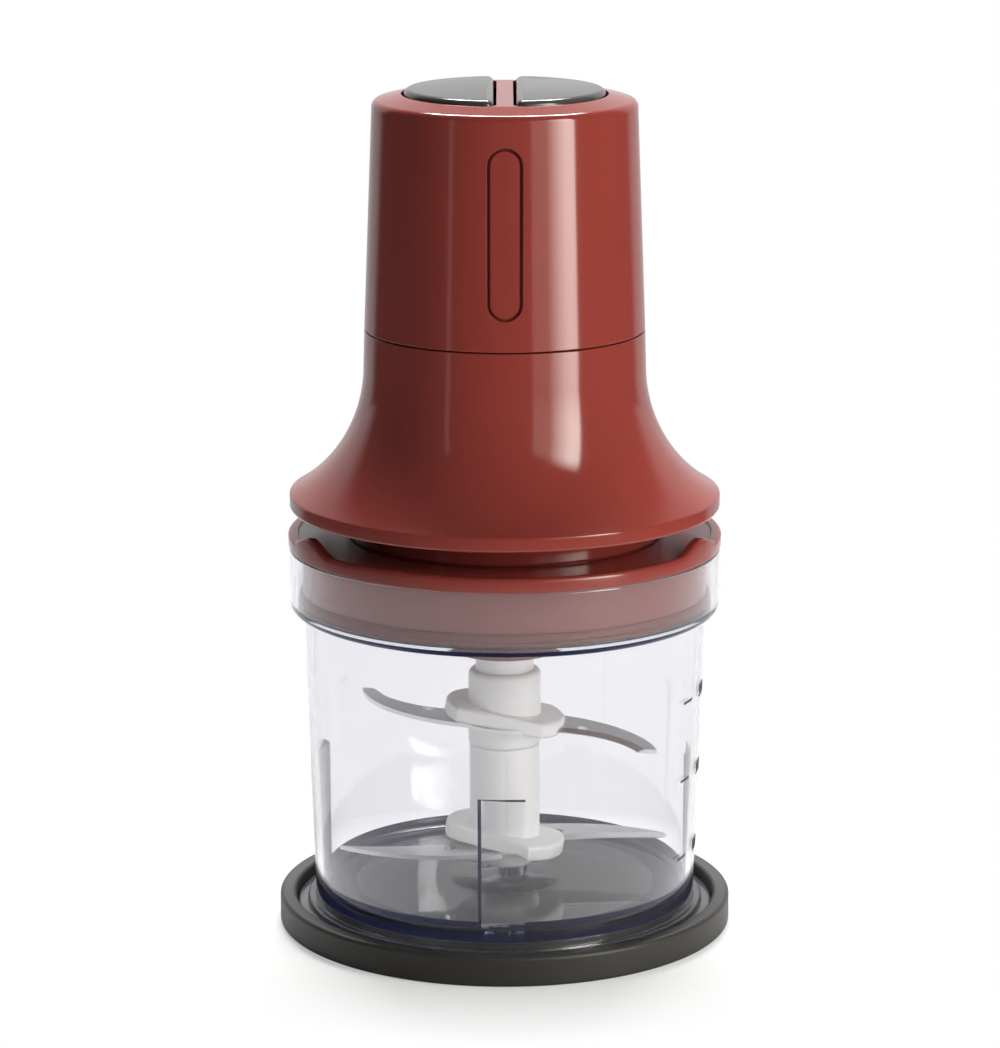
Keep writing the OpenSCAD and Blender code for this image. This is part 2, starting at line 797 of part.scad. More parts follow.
module cord_gland() color("#2b2b2d")
    translate([0, gland_y, z_gland]) rotate([-90, 0, 0]) rotate_extrude() {
        inside = gland_y - cap_r(z_gland) + shell + 1;
        rrect(gland_bore / 2, 0, gland_r, 2.4, tr = 0.9);
        rrect(gland_bore / 2, -inside - 2, gland_neck, bite);
        rrect(gland_bore / 2, -inside - 2, gland_neck + 1, -inside, br = 0.5);
    }

// Right-hand button: the left one is its mirror image
module button() {
    difference() {
        intersection() {
            union() {
                rotate_extrude() intersection() {
                    rrect(0, z_button_low, button_r, z_button, tr = 1.3);
                    translate([0, z_button - dome_r]) circle(dome_r, $fn = 720);
                }
                ring(button_r - 2, button_r + stop_w + button_gap, z_button_low, z_button_low + stop_h);
            }
            rotate([90, 0, 0]) linear_extrude(3 * button_r, center = true)
                rrect(button_x, z_button_low - 1, 2 * button_r, z_button + 1, tl = 2.2);
        }
        translate([0, 0, z_button_low - 1]) linear_extrude(z_button_under - z_button_low + 1)
            half_moon(button_r - button_wall, button_x + button_wall);
    }
    translate([stem_x, switch_y, 0]) rod(2.4, z_stem, z_button_under + bite);
    translate([stem_x, spring_y, 0]) rod(spring_post_r, z_button_under - 2, z_button_under + bite);
}

module right_button() color("#35302f") button();

module left_button() color("#35302f") mirror([1, 0, 0]) button();

// Coil of round wire: 8 rings a turn, 6 sides a ring
module coil() {
    r = (spring_d - spring_wire) / 2;
    w = spring_wire / 2;
    rings = spring_turns * 8;
    rise = z_button_under - z_spring - spring_wire - 2 * seat;
    points = [for (i = [0:rings], j = [0:5])
        let (a = i * 45, b = j * 60 + 30, q = r + w * cos(b))
        [q * cos(a), q * sin(a), z_spring + seat + w + rise * i / rings + w * sin(b)]];
    faces = concat(
        [for (i = [0:rings - 1], j = [0:5]) [i * 6 + j, i * 6 + (j + 1) % 6, i * 6 + 6 + j]],
        [for (i = [0:rings - 1], j = [0:5])
            [i * 6 + (j + 1) % 6, i * 6 + 6 + (j + 1) % 6, i * 6 + 6 + j]],
        [for (j = [1:4]) [0, j + 1, j]],
        [for (j = [1:4]) [rings * 6, rings * 6 + j, rings * 6 + j + 1]]);
    echo(spring_gap = rise / spring_turns - spring_wire);
    translate([stem_x, spring_y, 0]) polyhedron(points, faces);
}

module right_spring() color("#c4c6c9") coil();

module left_spring() color("#c4c6c9") mirror([1, 0, 0]) coil();

module plunger() translate([stem_x, switch_y, 0])
    rod(plunger_r, z_switch_top - plunger_in, z_stem);

module right_plunger() color("#e0ddd2") plunger();

module left_plunger() color("#e0ddd2") mirror([1, 0, 0]) plunger();

module switch_body() {
    low = plunger_in + button_travel + 0.3;
    difference() {
        translate([stem_x - switch_l / 2, switch_y - switch_w / 2, z_plate_top])
            cube([switch_l, switch_w, switch_h]);
        translate([stem_x, switch_y, 0]) rod(plunger_r + 0.2, z_switch_top - low, z_switch_top + 1);
    }
    // Terminals through the plate
    for (x = [-tab_gap, 0, tab_gap])
        translate([stem_x + x - 0.4, switch_y - 1.5, z_plate - tab_drop])
            cube([0.8, 3, plate_t + tab_drop + bite]);
}

module right_switch() color("#3a3f45") switch_body();

module left_switch() color("#3a3f45") mirror([1, 0, 0]) switch_body();

module switch_plate() color("#d8d5c8") difference() {
    union() {
        rod(plate_r, z_plate, z_plate_top);
        sides() translate([stem_x, spring_y, 0]) {
            rod(spring_d / 2 + 0.4, z_plate_top - bite, z_spring);
            rod(spring_post_r, z_spring - bite, z_spring + 3);
        }
        for (x = [-1, 1], y = [-1, 1]) translate([x * (board_l / 2 - 3), y * (board_w / 2 - 3), 0])
            rod(2, z_plate - board_drop, z_plate + bite);
    }
    sides() translate([stem_x - slot_l / 2, switch_y - slot_w / 2, z_plate - 1])
        cube([slot_l, slot_w, plate_t + 2]);
    polar(4, plate_hole_at, 45) rod(1.3, z_plate - 1, z_plate_top + 1);
}

module control_board() color("#2f6b45") {
    z = z_plate - board_drop;
    clear_r = bearing_r + boss_wall + 1;
    translate([-board_l / 2, -board_w / 2, z - board_t]) cube([board_l, board_w, board_t]);
    // Rectifier, capacitor and motor terminals, clear of the bearing below them
    translate([-clear_r - rectifier.x, rectifier_y, z - board_t - rectifier.z])
        cube([rectifier.x, rectifier.y, rectifier.z + e]);
    translate([clear_r + capacitor_r, capacitor_y, 0])
        rod(capacitor_r, z - board_t - capacitor_h, z - board_t + e);
    translate([clear_r + capacitor_r - 1, terminals_y, z - board_t - terminals.z])
        cube([terminals.x, terminals.y, terminals.z + e]);
}

module gear_case() color("#8d9094") difference() {
    rotate_extrude() {
        translate([bush_r + 1, z_case]) square([case_r - bush_r - 1, case_t]);
        rrect(ring_r_out, z_case, case_r, z_case_top);
        translate([ring_root + 1, z_case]) square([case_r - ring_root - 1, z_gear - z_case]);
        rrect(ring_r_out, z_case_top - flange_h, flange_r, z_case_top, br = 2);
    }
    polar(3, mscrew_at, 90) rod(1.2, z_case_top - flange_h + 1, z_case_top + 1);
}

module ring_gear() color("#6f7479") translate([0, 0, z_gear]) linear_extrude(gear_w) difference() {
    rp = gear_m * ring_teeth / 2;
    circle(ring_r_out);
    rotate(180 / ring_teeth) polygon(gear_points(ring_teeth, rp - gear_add, rp + gear_ded, -backlash));
}

module sun_gear() color("#b8954a") translate([0, 0, z_gear - 0.2]) linear_extrude(gear_w + 1.4) difference() {
    gear(sun_teeth);
    circle(sun_bore);
}

// Turned so that a gap faces the sun's tooth
module planet_gear(i) rotate(i * 120) translate([gear_a, 0, z_gear]) linear_extrude(gear_w) difference() {
    rotate(180 - 180 / planet_teeth) gear(planet_teeth);
    circle(planet_pin_d / 2 + run);
}

module planet_gear_1() color("#e8e4d6") planet_gear(0);

module planet_gear_2() color("#e8e4d6") planet_gear(1);

module planet_gear_3() color("#e8e4d6") planet_gear(2);

module planet_carrier() color("#77797c") difference() {
    carrier_r = gear_a + planet_pin_d / 2 + 3;
    rotate_extrude() rrect(out_r, z_carrier, carrier_r, z_carrier + carrier_t, tr = 0.6, br = 0.6);
    polar(3, gear_a) rod(planet_pin_d / 2, z_carrier + 1, z_gear);
}

module planet_pins() color("#c0c3c7")
    polar(3, gear_a) rod(planet_pin_d / 2, z_carrier + 1, z_gear_top + 0.5);

module output_shaft() color("#b9bcc0") {
    rod(out_r, z_neck_top + 2, z_carrier + carrier_t);
    rod(stub_r, z_coupling + 2, z_neck_top + 2 + bite);
}

module output_bush() color("#b08a4e")
    ring(out_r + run / 2, bush_r, z_bush, z_case - 0.4);

module shaft_seal() color("#29292b")
    ring(out_r + run, bush_r, z_spigot + spigot_lip, z_bush - 0.2);

module drive_coupling() color("#ecebe4") difference() {
    translate([0, 0, z_coupling]) linear_extrude(z_neck_top + 2 - z_coupling) lobed(0);
    rod(stub_r, z_coupling + 2, z_neck_top + 3);
}

module motor_plate() color("#9a9da1") difference() {
    rod(flange_r, z_case_top, z_mplate_top);
    rod(bearing_r + boss_wall, z_case_top - 1, z_mplate_top + 1);
    polar(3, mscrew_at, 90) rod(1.4, z_case_top - 1, z_mplate_top + 1);
}

module motor_can() color("#a5a8ab") rotate_extrude() {
    rrect(can_in, z_can, can_r, z_bell, br = 1.2);
    translate([bearing_r, z_can]) square([can_in - bearing_r + bite, 2]);
    rrect(bearing_r, z_can, bearing_r + boss_wall, z_can + bearing_h + 1, tr = 0.5);
}

module field_magnets() color("#56585b") for (s = [-65, 115]) rotate(s)
    rotate_extrude(angle = 130) rrect(can_in - magnet_t, z_arm - 2, can_in, z_arm + arm_h + 2);

module armature() color("#7e8285") translate([0, 0, z_arm]) linear_extrude(arm_h) difference() {
    circle(armature_r);
    circle(mshaft_r);
    for (i = [0:armature_slots - 1]) rotate(i * 360 / armature_slots) {
        translate([armature_r - slot_in, 0]) circle(2.6);
        translate([armature_r - slot_in, -0.8]) square([slot_in + 3, 1.6]);
    }
}

module armature_windings() color("#b06a35") {
    rotate_extrude() {
        rrect(mshaft_r + 1.5, z_arm + arm_h, armature_r - 3, z_arm + arm_h + coil_up, tr = 1.8, tl = 1.2);
        rrect(bearing_r + boss_wall + 0.8, z_arm - coil_down, armature_r - 3, z_arm, br = 1.6, bl = 1.2);
    }
    polar(armature_slots, armature_r - slot_in) rod(2.3, z_arm - 1, z_arm + arm_h + 1);
}

module commutator() color("#b4763f") difference() {
    ring(mshaft_r, comm_r, z_comm, z_comm + comm_h);
    for (i = [0:armature_slots - 1]) rotate((i + 0.5) * 360 / armature_slots)
        translate([comm_r - 0.7, -0.3, z_comm - 1]) cube([2, 0.6, comm_h + 2]);
}

module motor_shaft() color("#b9bcc0") {
    rod(mshaft_r, z_case_top - 0.4, z_bell_top + 3.5);
    rod(sun_bore, z_gear - 0.2, z_case_top);
}

module lower_bearing() color("#c4a25c")
    ring(mshaft_r + run / 2, bearing_r, z_can + 0.5, z_can + 0.5 + bearing_h);

module upper_bearing() color("#c4a25c")
    ring(mshaft_r + run / 2, bearing_r, z_bell_top - 2.3, z_bell_top - 2.3 + bearing_h);

module brush_places() {
    for (s = [0, 180]) rotate(s) translate([comm_r + 0.2, 0, z_comm + comm_h / 2]) children();
}

module motor_end_bell() color("#3c3c3e") difference() {
    union() {
        rotate_extrude() {
            rrect(can_in, z_bell, can_r, z_bell_top, tr = 1.2);
            translate([bearing_r, z_bell_top - 2.4]) square([can_in - bearing_r + bite, 2.4]);
            rrect(bearing_r, z_bell_top - 2.4, bearing_r + boss_wall, z_bell_top + 2.6, tr = 0.5);
        }
        // Boxes that hold the brushes
        intersection() {
            brush_places() translate([2.5, -brush_w / 2 - 1.4, -brush_w / 2 - 1])
                cube([can_r, brush_w + 2.8, bell_h]);
            rod(can_in + can_wall / 2, z_bell, z_bell_top - 1);
        }
    }
    brush_places() translate([0, -brush_w / 2, -brush_w / 2]) cube([brush_l, brush_w, brush_w]);
}

module motor_brushes() color("#2a2a2a")
    brush_places() translate([0, -brush_w / 2, -brush_w / 2]) cube([brush_l, brush_w, brush_w]);

module cover_screws() color("#9b9ea2") screw_places() {
    rod(screw_head_r, z_boss + 0.4, z_boss + 2.4);
    rod(screw_r, z_boss + 2.4 - e, z_lip + screw_up - 1);
}

module motor_screws() color("#9b9ea2") polar(3, mscrew_at, 90) {
    rod(2.4, z_mplate_top, z_mplate_top + 2);
    rod(1.2, z_case_top - flange_h + 1.5, z_mplate_top + e);
}

module plate_screws() color("#9b9ea2") polar(4, plate_hole_at, 45) {
    rod(2.2, z_plate - 1.8, z_plate);
    rod(1.1, z_plate - e, z_plate_top + plate_screw_l);
}

base_mat();
bowl();
pivot_pin();
blade_spindle();
upper_hub();
lower_blade();
upper_blade();
lid();
lid_seal();
head_base();
lower_housing();
upper_housing();
grip_inlay();
cord_gland();
left_button();
right_button();
left_spring();
right_spring();
left_plunger();
right_plunger();
left_switch();
right_switch();
switch_plate();
control_board();
gear_case();
ring_gear();
sun_gear();
planet_gear_1();
planet_gear_2();
planet_gear_3();
planet_carrier();
planet_pins();
output_shaft();
output_bush();
shaft_seal();
drive_coupling();
motor_plate();
motor_can();
field_magnets();
armature();
armature_windings();
commutator();
motor_shaft();
lower_bearing();
upper_bearing();
motor_end_bell();
motor_brushes();
cover_screws();
motor_screws();
plate_screws();
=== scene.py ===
import json
import math

import bmesh
import bpy
from mathutils import Matrix, Vector


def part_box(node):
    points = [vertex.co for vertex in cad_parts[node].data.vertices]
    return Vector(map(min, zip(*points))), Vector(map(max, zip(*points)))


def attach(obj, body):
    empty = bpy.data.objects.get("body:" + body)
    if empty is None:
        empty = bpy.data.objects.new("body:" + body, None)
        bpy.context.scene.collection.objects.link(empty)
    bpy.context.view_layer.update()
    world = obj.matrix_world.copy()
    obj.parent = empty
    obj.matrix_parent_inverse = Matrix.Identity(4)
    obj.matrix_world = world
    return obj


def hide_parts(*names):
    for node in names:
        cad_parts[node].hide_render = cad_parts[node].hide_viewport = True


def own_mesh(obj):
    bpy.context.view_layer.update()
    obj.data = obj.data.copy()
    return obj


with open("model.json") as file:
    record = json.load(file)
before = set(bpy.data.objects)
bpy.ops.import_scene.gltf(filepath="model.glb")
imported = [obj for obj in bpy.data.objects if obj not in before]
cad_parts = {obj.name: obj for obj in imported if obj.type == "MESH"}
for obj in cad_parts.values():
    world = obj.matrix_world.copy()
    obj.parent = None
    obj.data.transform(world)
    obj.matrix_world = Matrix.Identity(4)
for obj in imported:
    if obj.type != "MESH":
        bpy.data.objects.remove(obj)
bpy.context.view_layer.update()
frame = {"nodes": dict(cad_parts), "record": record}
nodes = frame["nodes"]
# Pieces are drawn in millimetres, then scaled
mm = 0.001
print("frame loaded:", len(nodes), "nodes")


# Sizes that come from the frame, in millimetres
def low(node):
    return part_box(node)[0].z / mm


def top(node):
    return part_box(node)[1].z / mm


def reach(node):
    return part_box(node)[1].x / mm


# Camera: at the photograph's height, looking a little down
view = {"place": (-0.00134, -1.2086, 0.3971), "tilt": 76.93, "lens": 149.64}
cameraData = bpy.data.cameras.new("camera")
cameraData.lens = view["lens"]
cameraData.sensor_width = 36
cameraData.clip_end = 20
camera = bpy.data.objects.new("camera", cameraData)
camera.location = view["place"]
camera.rotation_euler = (math.radians(view["tilt"]), 0, 0)
bpy.context.scene.collection.objects.link(camera)
bpy.context.scene.camera = camera


# Shader maths: a wire is an output of a node, and an expression on wires adds Math nodes
class Wire:
    def __init__(self, finish, socket):
        self.finish = finish
        self.socket = socket

    def maths(self, operation, a, b):
        return self.finish.add("ShaderNodeMath", {"operation": operation}, {0: a, 1: b})

    def __add__(self, other):
        return self.maths("ADD", self, other)

    def __radd__(self, other):
        return self.maths("ADD", other, self)

    def __sub__(self, other):
        return self.maths("SUBTRACT", self, other)

    def __rsub__(self, other):
        return self.maths("SUBTRACT", other, self)

    def __mul__(self, other):
        return self.maths("MULTIPLY", self, other)

    def __rmul__(self, other):
        return self.maths("MULTIPLY", other, self)

    def __truediv__(self, other):
        return self.maths("DIVIDE", self, other)

    def __gt__(self, other):
        return self.maths("GREATER_THAN", self, other)

    def clamp(self):
        return self.finish.add("ShaderNodeClamp", {}, {"Value": self})


class Finish:
    def __init__(self, name, tree=None):
        if tree is None:
            self.material = bpy.data.materials.new(name)
            self.material.use_nodes = True
            tree = self.material.node_tree
        self.tree = tree
        tree.nodes.clear()

    # Any node: its type, its settings, then the values or wires of its sockets
    def add(self, kind, settings, sockets, output=0):
        node = self.tree.nodes.new(kind)
        for key, value in settings.items():
            setattr(node, key, value)
        for key, value in sockets.items():
            if isinstance(value, Wire):
                self.tree.links.new(value.socket, node.inputs[key])
            else:
                node.inputs[key].default_value = value
        return Wire(self, node.outputs[output]) if node.outputs else None

    def place(self, scale=(1, 1, 1)):
        spot = self.add("ShaderNodeTexCoord", {}, {}, "Object")
        return self.add("ShaderNodeMapping", {}, {"Vector": spot, "Scale": scale})

    def noise(self, size, detail=2.0, scale=(1, 1, 1)):
        sockets = {"Vector": self.place(scale), "Scale": 1 / (size * mm), "Detail": detail, "Roughness": 0.5}
        return self.add("ShaderNodeTexNoise", {}, sockets, "Fac")

    def ray(self, kind):
        return self.add("ShaderNodeLightPath", {}, {}, kind)

    def blend(self, factor, a, b):
        return self.add("ShaderNodeMix", {"data_type": "RGBA"}, {0: factor, 6: (*a, 1), 7: (*b, 1)}, 2)

    def bump(self, height, strength, depth):
        sockets = {"Height": height, "Strength": strength, "Distance": depth * mm}
        return self.add("ShaderNodeBump", {}, sockets)

    def surface(self, **sockets):
        named = {key.replace("_", " "): value for key, value in sockets.items()}
        shader = self.add("ShaderNodeBsdfPrincipled", {}, named)
        self.add("ShaderNodeOutputMaterial", {}, {"Surface": shader})
        return self.material


# Glossy moulded plastic: faint flow marks in the colour, a hint of orange peel in the gloss
def glossPlastic(name, light, dark, rough=0.08, peel=0.03):
    f = Finish(name)
    flow = f.noise(34, 2)
    peelNoise = f.noise(1.3, 1)
    return f.surface(
        Base_Color=f.blend(flow, light, dark), Roughness=rough + 0.05 * flow, IOR=1.5,
        Normal=f.bump(peelNoise, peel, 0.02))


# Satin moulded plastic with a fine spark-eroded grain
def satinPlastic(name, light, dark, rough=0.45, grain=0.12, soft=0.0):
    f = Finish(name)
    cloud = f.noise(18, 3)
    fine = f.noise(0.35, 2)
    return f.surface(
        Base_Color=f.blend(cloud, light, dark), Roughness=rough + 0.1 * cloud, Subsurface_Weight=soft,
        Subsurface_Radius=(0.004, 0.004, 0.0035), Normal=f.bump(fine, grain, 0.03))


# Moulded rubber: dull, with a fine grain and paler dusty patches
def rubber(name, light, dark, rough=0.62, grain=0.25):
    f = Finish(name)
    dust = f.noise(26, 4)
    fine = f.noise(0.5, 3)
    return f.surface(
        Base_Color=f.blend(dust, dark, light), Roughness=rough + 0.16 * dust, Specular_IOR_Level=0.4,
        Normal=f.bump(fine, grain, 0.05))


# Metal with drawn or turned marks along one direction
def brushedMetal(name, light, dark, rough=0.28, stretch=(1, 14, 14), marks=0.9, grain=0.08):
    f = Finish(name)
    lines = f.noise(marks * 10, 4, stretch)
    cloud = f.noise(14, 2)
    return f.surface(
        Base_Color=f.blend(lines, dark, light), Metallic=1.0, Roughness=rough + 0.16 * lines + 0.06 * cloud,
        Normal=f.bump(lines, grain, 0.02))


# Clear moulded plastic: bluer the further light goes through it
def clearPlastic(name, tint, density, rough):
    f = Finish(name)
    haze = f.noise(22, 3)
    shader = f.add("ShaderNodeBsdfPrincipled", {}, {
        "Base Color": (1, 1, 1, 1), "Roughness": rough + 0.01 * haze, "IOR": 1.5,
        "Transmission Weight": 0.975})
    depth = f.add("ShaderNodeVolumeAbsorption", {}, {"Color": tint, "Density": density})
    f.add("ShaderNodeOutputMaterial", {}, {"Surface": shader, "Volume": depth})
    return f.material


# Edge of the clear plastic with painted shade and a painted glow: a near-black navy base colour and a faint
# navy emission stand in for the dark and the light that a long path inside the plastic shows
def paintedShadeGlowEdge(name, light, dark):
    f = Finish(name)
    haze = f.noise(22, 3)
    return f.surface(
        # Painted shade in the base colour, painted glow in the emission
        Base_Color=(0.005, 0.006, 0.02, 1), Roughness=0.15, Specular_IOR_Level=0.2,
        Emission_Color=f.blend(haze, light, dark), Emission_Strength=1.0)


finishes = {
    "red": glossPlastic("redHousing", (0.225, 0.036, 0.028), (0.205, 0.032, 0.025)),
    "lid_red": glossPlastic("redLid", (0.225, 0.036, 0.028), (0.2, 0.031, 0.024), rough=0.16),
    "seal_red": rubber("redSeal", (0.2, 0.03, 0.024), (0.15, 0.02, 0.016)),
    "clear": clearPlastic("clearBowl", (0.2, 0.2, 0.49, 1), 34, 0.0),
    # Painted shade and glow for edges of the clear bowl, not a colour of the plastic
    "clear_edge_painted_shade_glow": paintedShadeGlowEdge("clearEdgePaintedShadeGlow", (0.005, 0.007, 0.03), (0.004, 0.005, 0.018)),
    "mat_rubber": rubber("matRubber", (0.036, 0.034, 0.03), (0.028, 0.026, 0.024), rough=0.36, grain=0.1),
    "black_rubber": rubber("glandRubber", (0.03, 0.03, 0.031), (0.018, 0.018, 0.019)),
    "white": satinPlastic(
        "whiteSpindle", (0.92, 0.92, 0.9), (0.88, 0.88, 0.86), rough=0.3, grain=0.05, soft=0.2),
    "smoke": glossPlastic("smokeButton", (0.06, 0.058, 0.057), (0.045, 0.044, 0.043), rough=0.12),
    "steel": brushedMetal("turnedSteel", (0.62, 0.62, 0.64), (0.5, 0.5, 0.52)),
    "blade_steel": brushedMetal("bladeSteel", (0.86, 0.87, 0.88), (0.74, 0.75, 0.76), rough=0.3),
    "ground_edge": brushedMetal("groundEdge", (0.82, 0.82, 0.83), (0.72, 0.72, 0.73), rough=0.26, marks=0.3),
    "print": satinPlastic("darkPrint", (0.05, 0.052, 0.06), (0.035, 0.037, 0.045), rough=0.5),
    "black_plastic": satinPlastic("blackPlastic", (0.05, 0.05, 0.054), (0.034, 0.034, 0.037)),
    "cream_plastic": satinPlastic("nylon", (0.76, 0.72, 0.62), (0.7, 0.66, 0.56)),
    "board": satinPlastic("circuitBoard", (0.05, 0.2, 0.09), (0.03, 0.14, 0.06), rough=0.35),
    "case_metal": brushedMetal(
        "castCase", (0.56, 0.57, 0.58), (0.46, 0.47, 0.48), rough=0.42, stretch=(1, 1, 1)),
    "bronze": brushedMetal("bronze", (0.66, 0.48, 0.22), (0.54, 0.38, 0.16), rough=0.34),
    "copper": brushedMetal("copper", (0.72, 0.36, 0.18), (0.56, 0.26, 0.12), rough=0.36),
    "iron": brushedMetal("darkIron", (0.34, 0.35, 0.36), (0.24, 0.25, 0.26), rough=0.5, stretch=(1, 1, 1)),
}
slotOf = {part["node"]: part["material_slot"] for part in frame["record"]["subparts"]}
for name, node in nodes.items():
    node.data.materials.clear()
    node.data.materials.append(finishes[slotOf[name]])
print("finishes:", len(finishes))


# Rounds corners (VERTICES) or edges (EDGES) of a drawing
def roundOff(bm, geom, kind, offset, segments):
    bmesh.ops.bevel(
        bm, geom=geom, affect=kind, offset=offset, offset_type="OFFSET", segments=segments, profile=0.5,
        material=-1)


# Draws an outline of (radius, height, round) points, left open where it would run along the axis
def drawOutline(outline, rounds):
    bm = bmesh.new()
    corners = [bm.verts.new((point[0], 0, point[1])) for point in outline]
    for a, b in zip(corners, corners[1:] + corners[:1]):
        if a.co.x > 0 or b.co.x > 0:
            bm.edges.new((a, b))
    for corner, point in zip(corners, outline):
        if len(point) > 2:
            roundOff(bm, [corner], "VERTICES", point[2], rounds)
    return bm


# Turns an outline about the upright axis
def lathe(outline, turns=224, rounds=5):
    bm = drawOutline(outline, rounds)
    bmesh.ops.spin(
        bm, geom=bm.verts[:] + bm.edges[:], cent=(0, 0, 0), axis=(0, 0, 1), angle=2 * math.pi, steps=turns,
        use_merge=True)
    bmesh.ops.remove_doubles(bm, verts=bm.verts[:], dist=0.002)
    poles = [v for v in bm.verts if math.hypot(v.co.x, v.co.y) < 0.001]
    bmesh.ops.dissolve_verts(bm, verts=poles)
    bmesh.ops.recalc_face_normals(bm, faces=bm.faces[:])
    return bm


# Points on an arc, for an outline
def arc(centre, radius, start, end, count):
    angles = [math.radians(start + (end - start) * i / count) for i in range(count + 1)]
    return [(centre[0] + radius * math.cos(a), centre[1] + radius * math.sin(a)) for a in angles]


def makeObject(bm, name):
    bmesh.ops.scale(bm, vec=(mm, mm, mm), verts=bm.verts[:])
    mesh = bpy.data.meshes.new(name)
    bm.to_mesh(mesh)
    bm.free()
    piece = bpy.data.objects.new(name, mesh)
    bpy.context.scene.collection.objects.link(piece)
    return piece


def bakeModifiers(piece):
    depsgraph = bpy.context.evaluated_depsgraph_get()
    mesh = bpy.data.meshes.new_from_object(piece.evaluated_get(depsgraph))
    piece.modifiers.clear()
    piece.data = mesh


# Cuts, joins or keeps what a tool piece covers, then throws the tool away
def carve(piece, tool, operation="DIFFERENCE"):
    change = piece.modifiers.new("carve", "BOOLEAN")
    change.operation = operation
    change.solver = "EXACT"
    change.object = tool
    bakeModifiers(piece)
    bpy.data.objects.remove(tool)


def softenEdges(piece, width, segments=2, angle=35):
    change = piece.modifiers.new("soften", "BEVEL")
    change.width = width * mm
    change.segments = segments
    change.limit_method = "ANGLE"
    change.angle_limit = math.radians(angle)
    change.use_clamp_overlap = False
    change.miter_outer = "MITER_ARC"
    bakeModifiers(piece)


# Raises a flat outline into a solid
def raiseFace(bm, height):
    solid = bmesh.ops.extrude_face_region(bm, geom=bm.faces[:])
    moved = [g for g in solid["geom"] if isinstance(g, bmesh.types.BMVert)]
    bmesh.ops.translate(bm, vec=(0, 0, height), verts=moved)
    bmesh.ops.recalc_face_normals(bm, faces=bm.faces[:])


# Smooths a piece, gives it the finish of its slot or the one named, hangs it on the body it rides on, and
# hides the nodes it stands for
def dress(piece, body, slot, *replaced, angle=40, finish=None, even=True):
    piece.data.shade_smooth()
    piece.data.set_sharp_from_angle(angle=math.radians(angle))
    if even:
        change = piece.modifiers.new("even", "WEIGHTED_NORMAL")
        change.keep_sharp = True
        bakeModifiers(piece)
    piece.data.materials.clear()
    piece.data.materials.append(finishes[finish or slot])
    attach(piece, body)
    if replaced:
        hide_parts(*replaced)
    return piece


# Rubber mat under the bowl
mat = {"rim": 4.7, "floor": 2.4, "edge": 1.3}
matR, matTop = reach("base_mat"), top("base_mat")
matIn = matR - mat["rim"]
matOutline = [
    (0, 0), (matR, 0, 1.1), (matR, matTop, mat["edge"]), (matIn, matTop, mat["edge"]),
    (matIn, mat["floor"], 0.5), (0, mat["floor"])]
dress(makeObject(lathe(matOutline, 256), "mat"), "mat", "mat_rubber", "base_mat")

# Clear bowl: draughted wall, stepped foot, collar for the lid, four wedge ribs inside
bowl = {
    "wall": 2.2, "footR": 59.9, "footT": 3.1, "stepR": 56.9, "stepT": 1.8, "wallLow": 54.4, "wallHigh": 57.4,
    "under": 9.8, "ringIn": 43, "floor": 12.2, "fillet": 3.0,
    "collar": 92.7, "collarRound": 2.6, "collarWall": 2.3, "ledge": 95.0,
    "coneR": 16.4, "coneIn": 7.0, "cone": 13.7, "postR": 5.4, "post": 17.0, "pinR": 2.5, "pin": 10.76,
    "ribTop": 50.3, "ribEnd": 51.0, "ribDepth": 0.9, "ribs": 4, "ribFrom": -8, "ribTo": 6, "ribStep": 0.9,
    "mouldW": 0.22, "mouldH": 0.1,
}
footZ, rimZ, collarR = low("bowl"), top("bowl"), reach("bowl")


def wallR(z):
    rise = (z - footZ) / (bowl["ledge"] - footZ)
    return bowl["wallLow"] + (bowl["wallHigh"] - bowl["wallLow"]) * rise


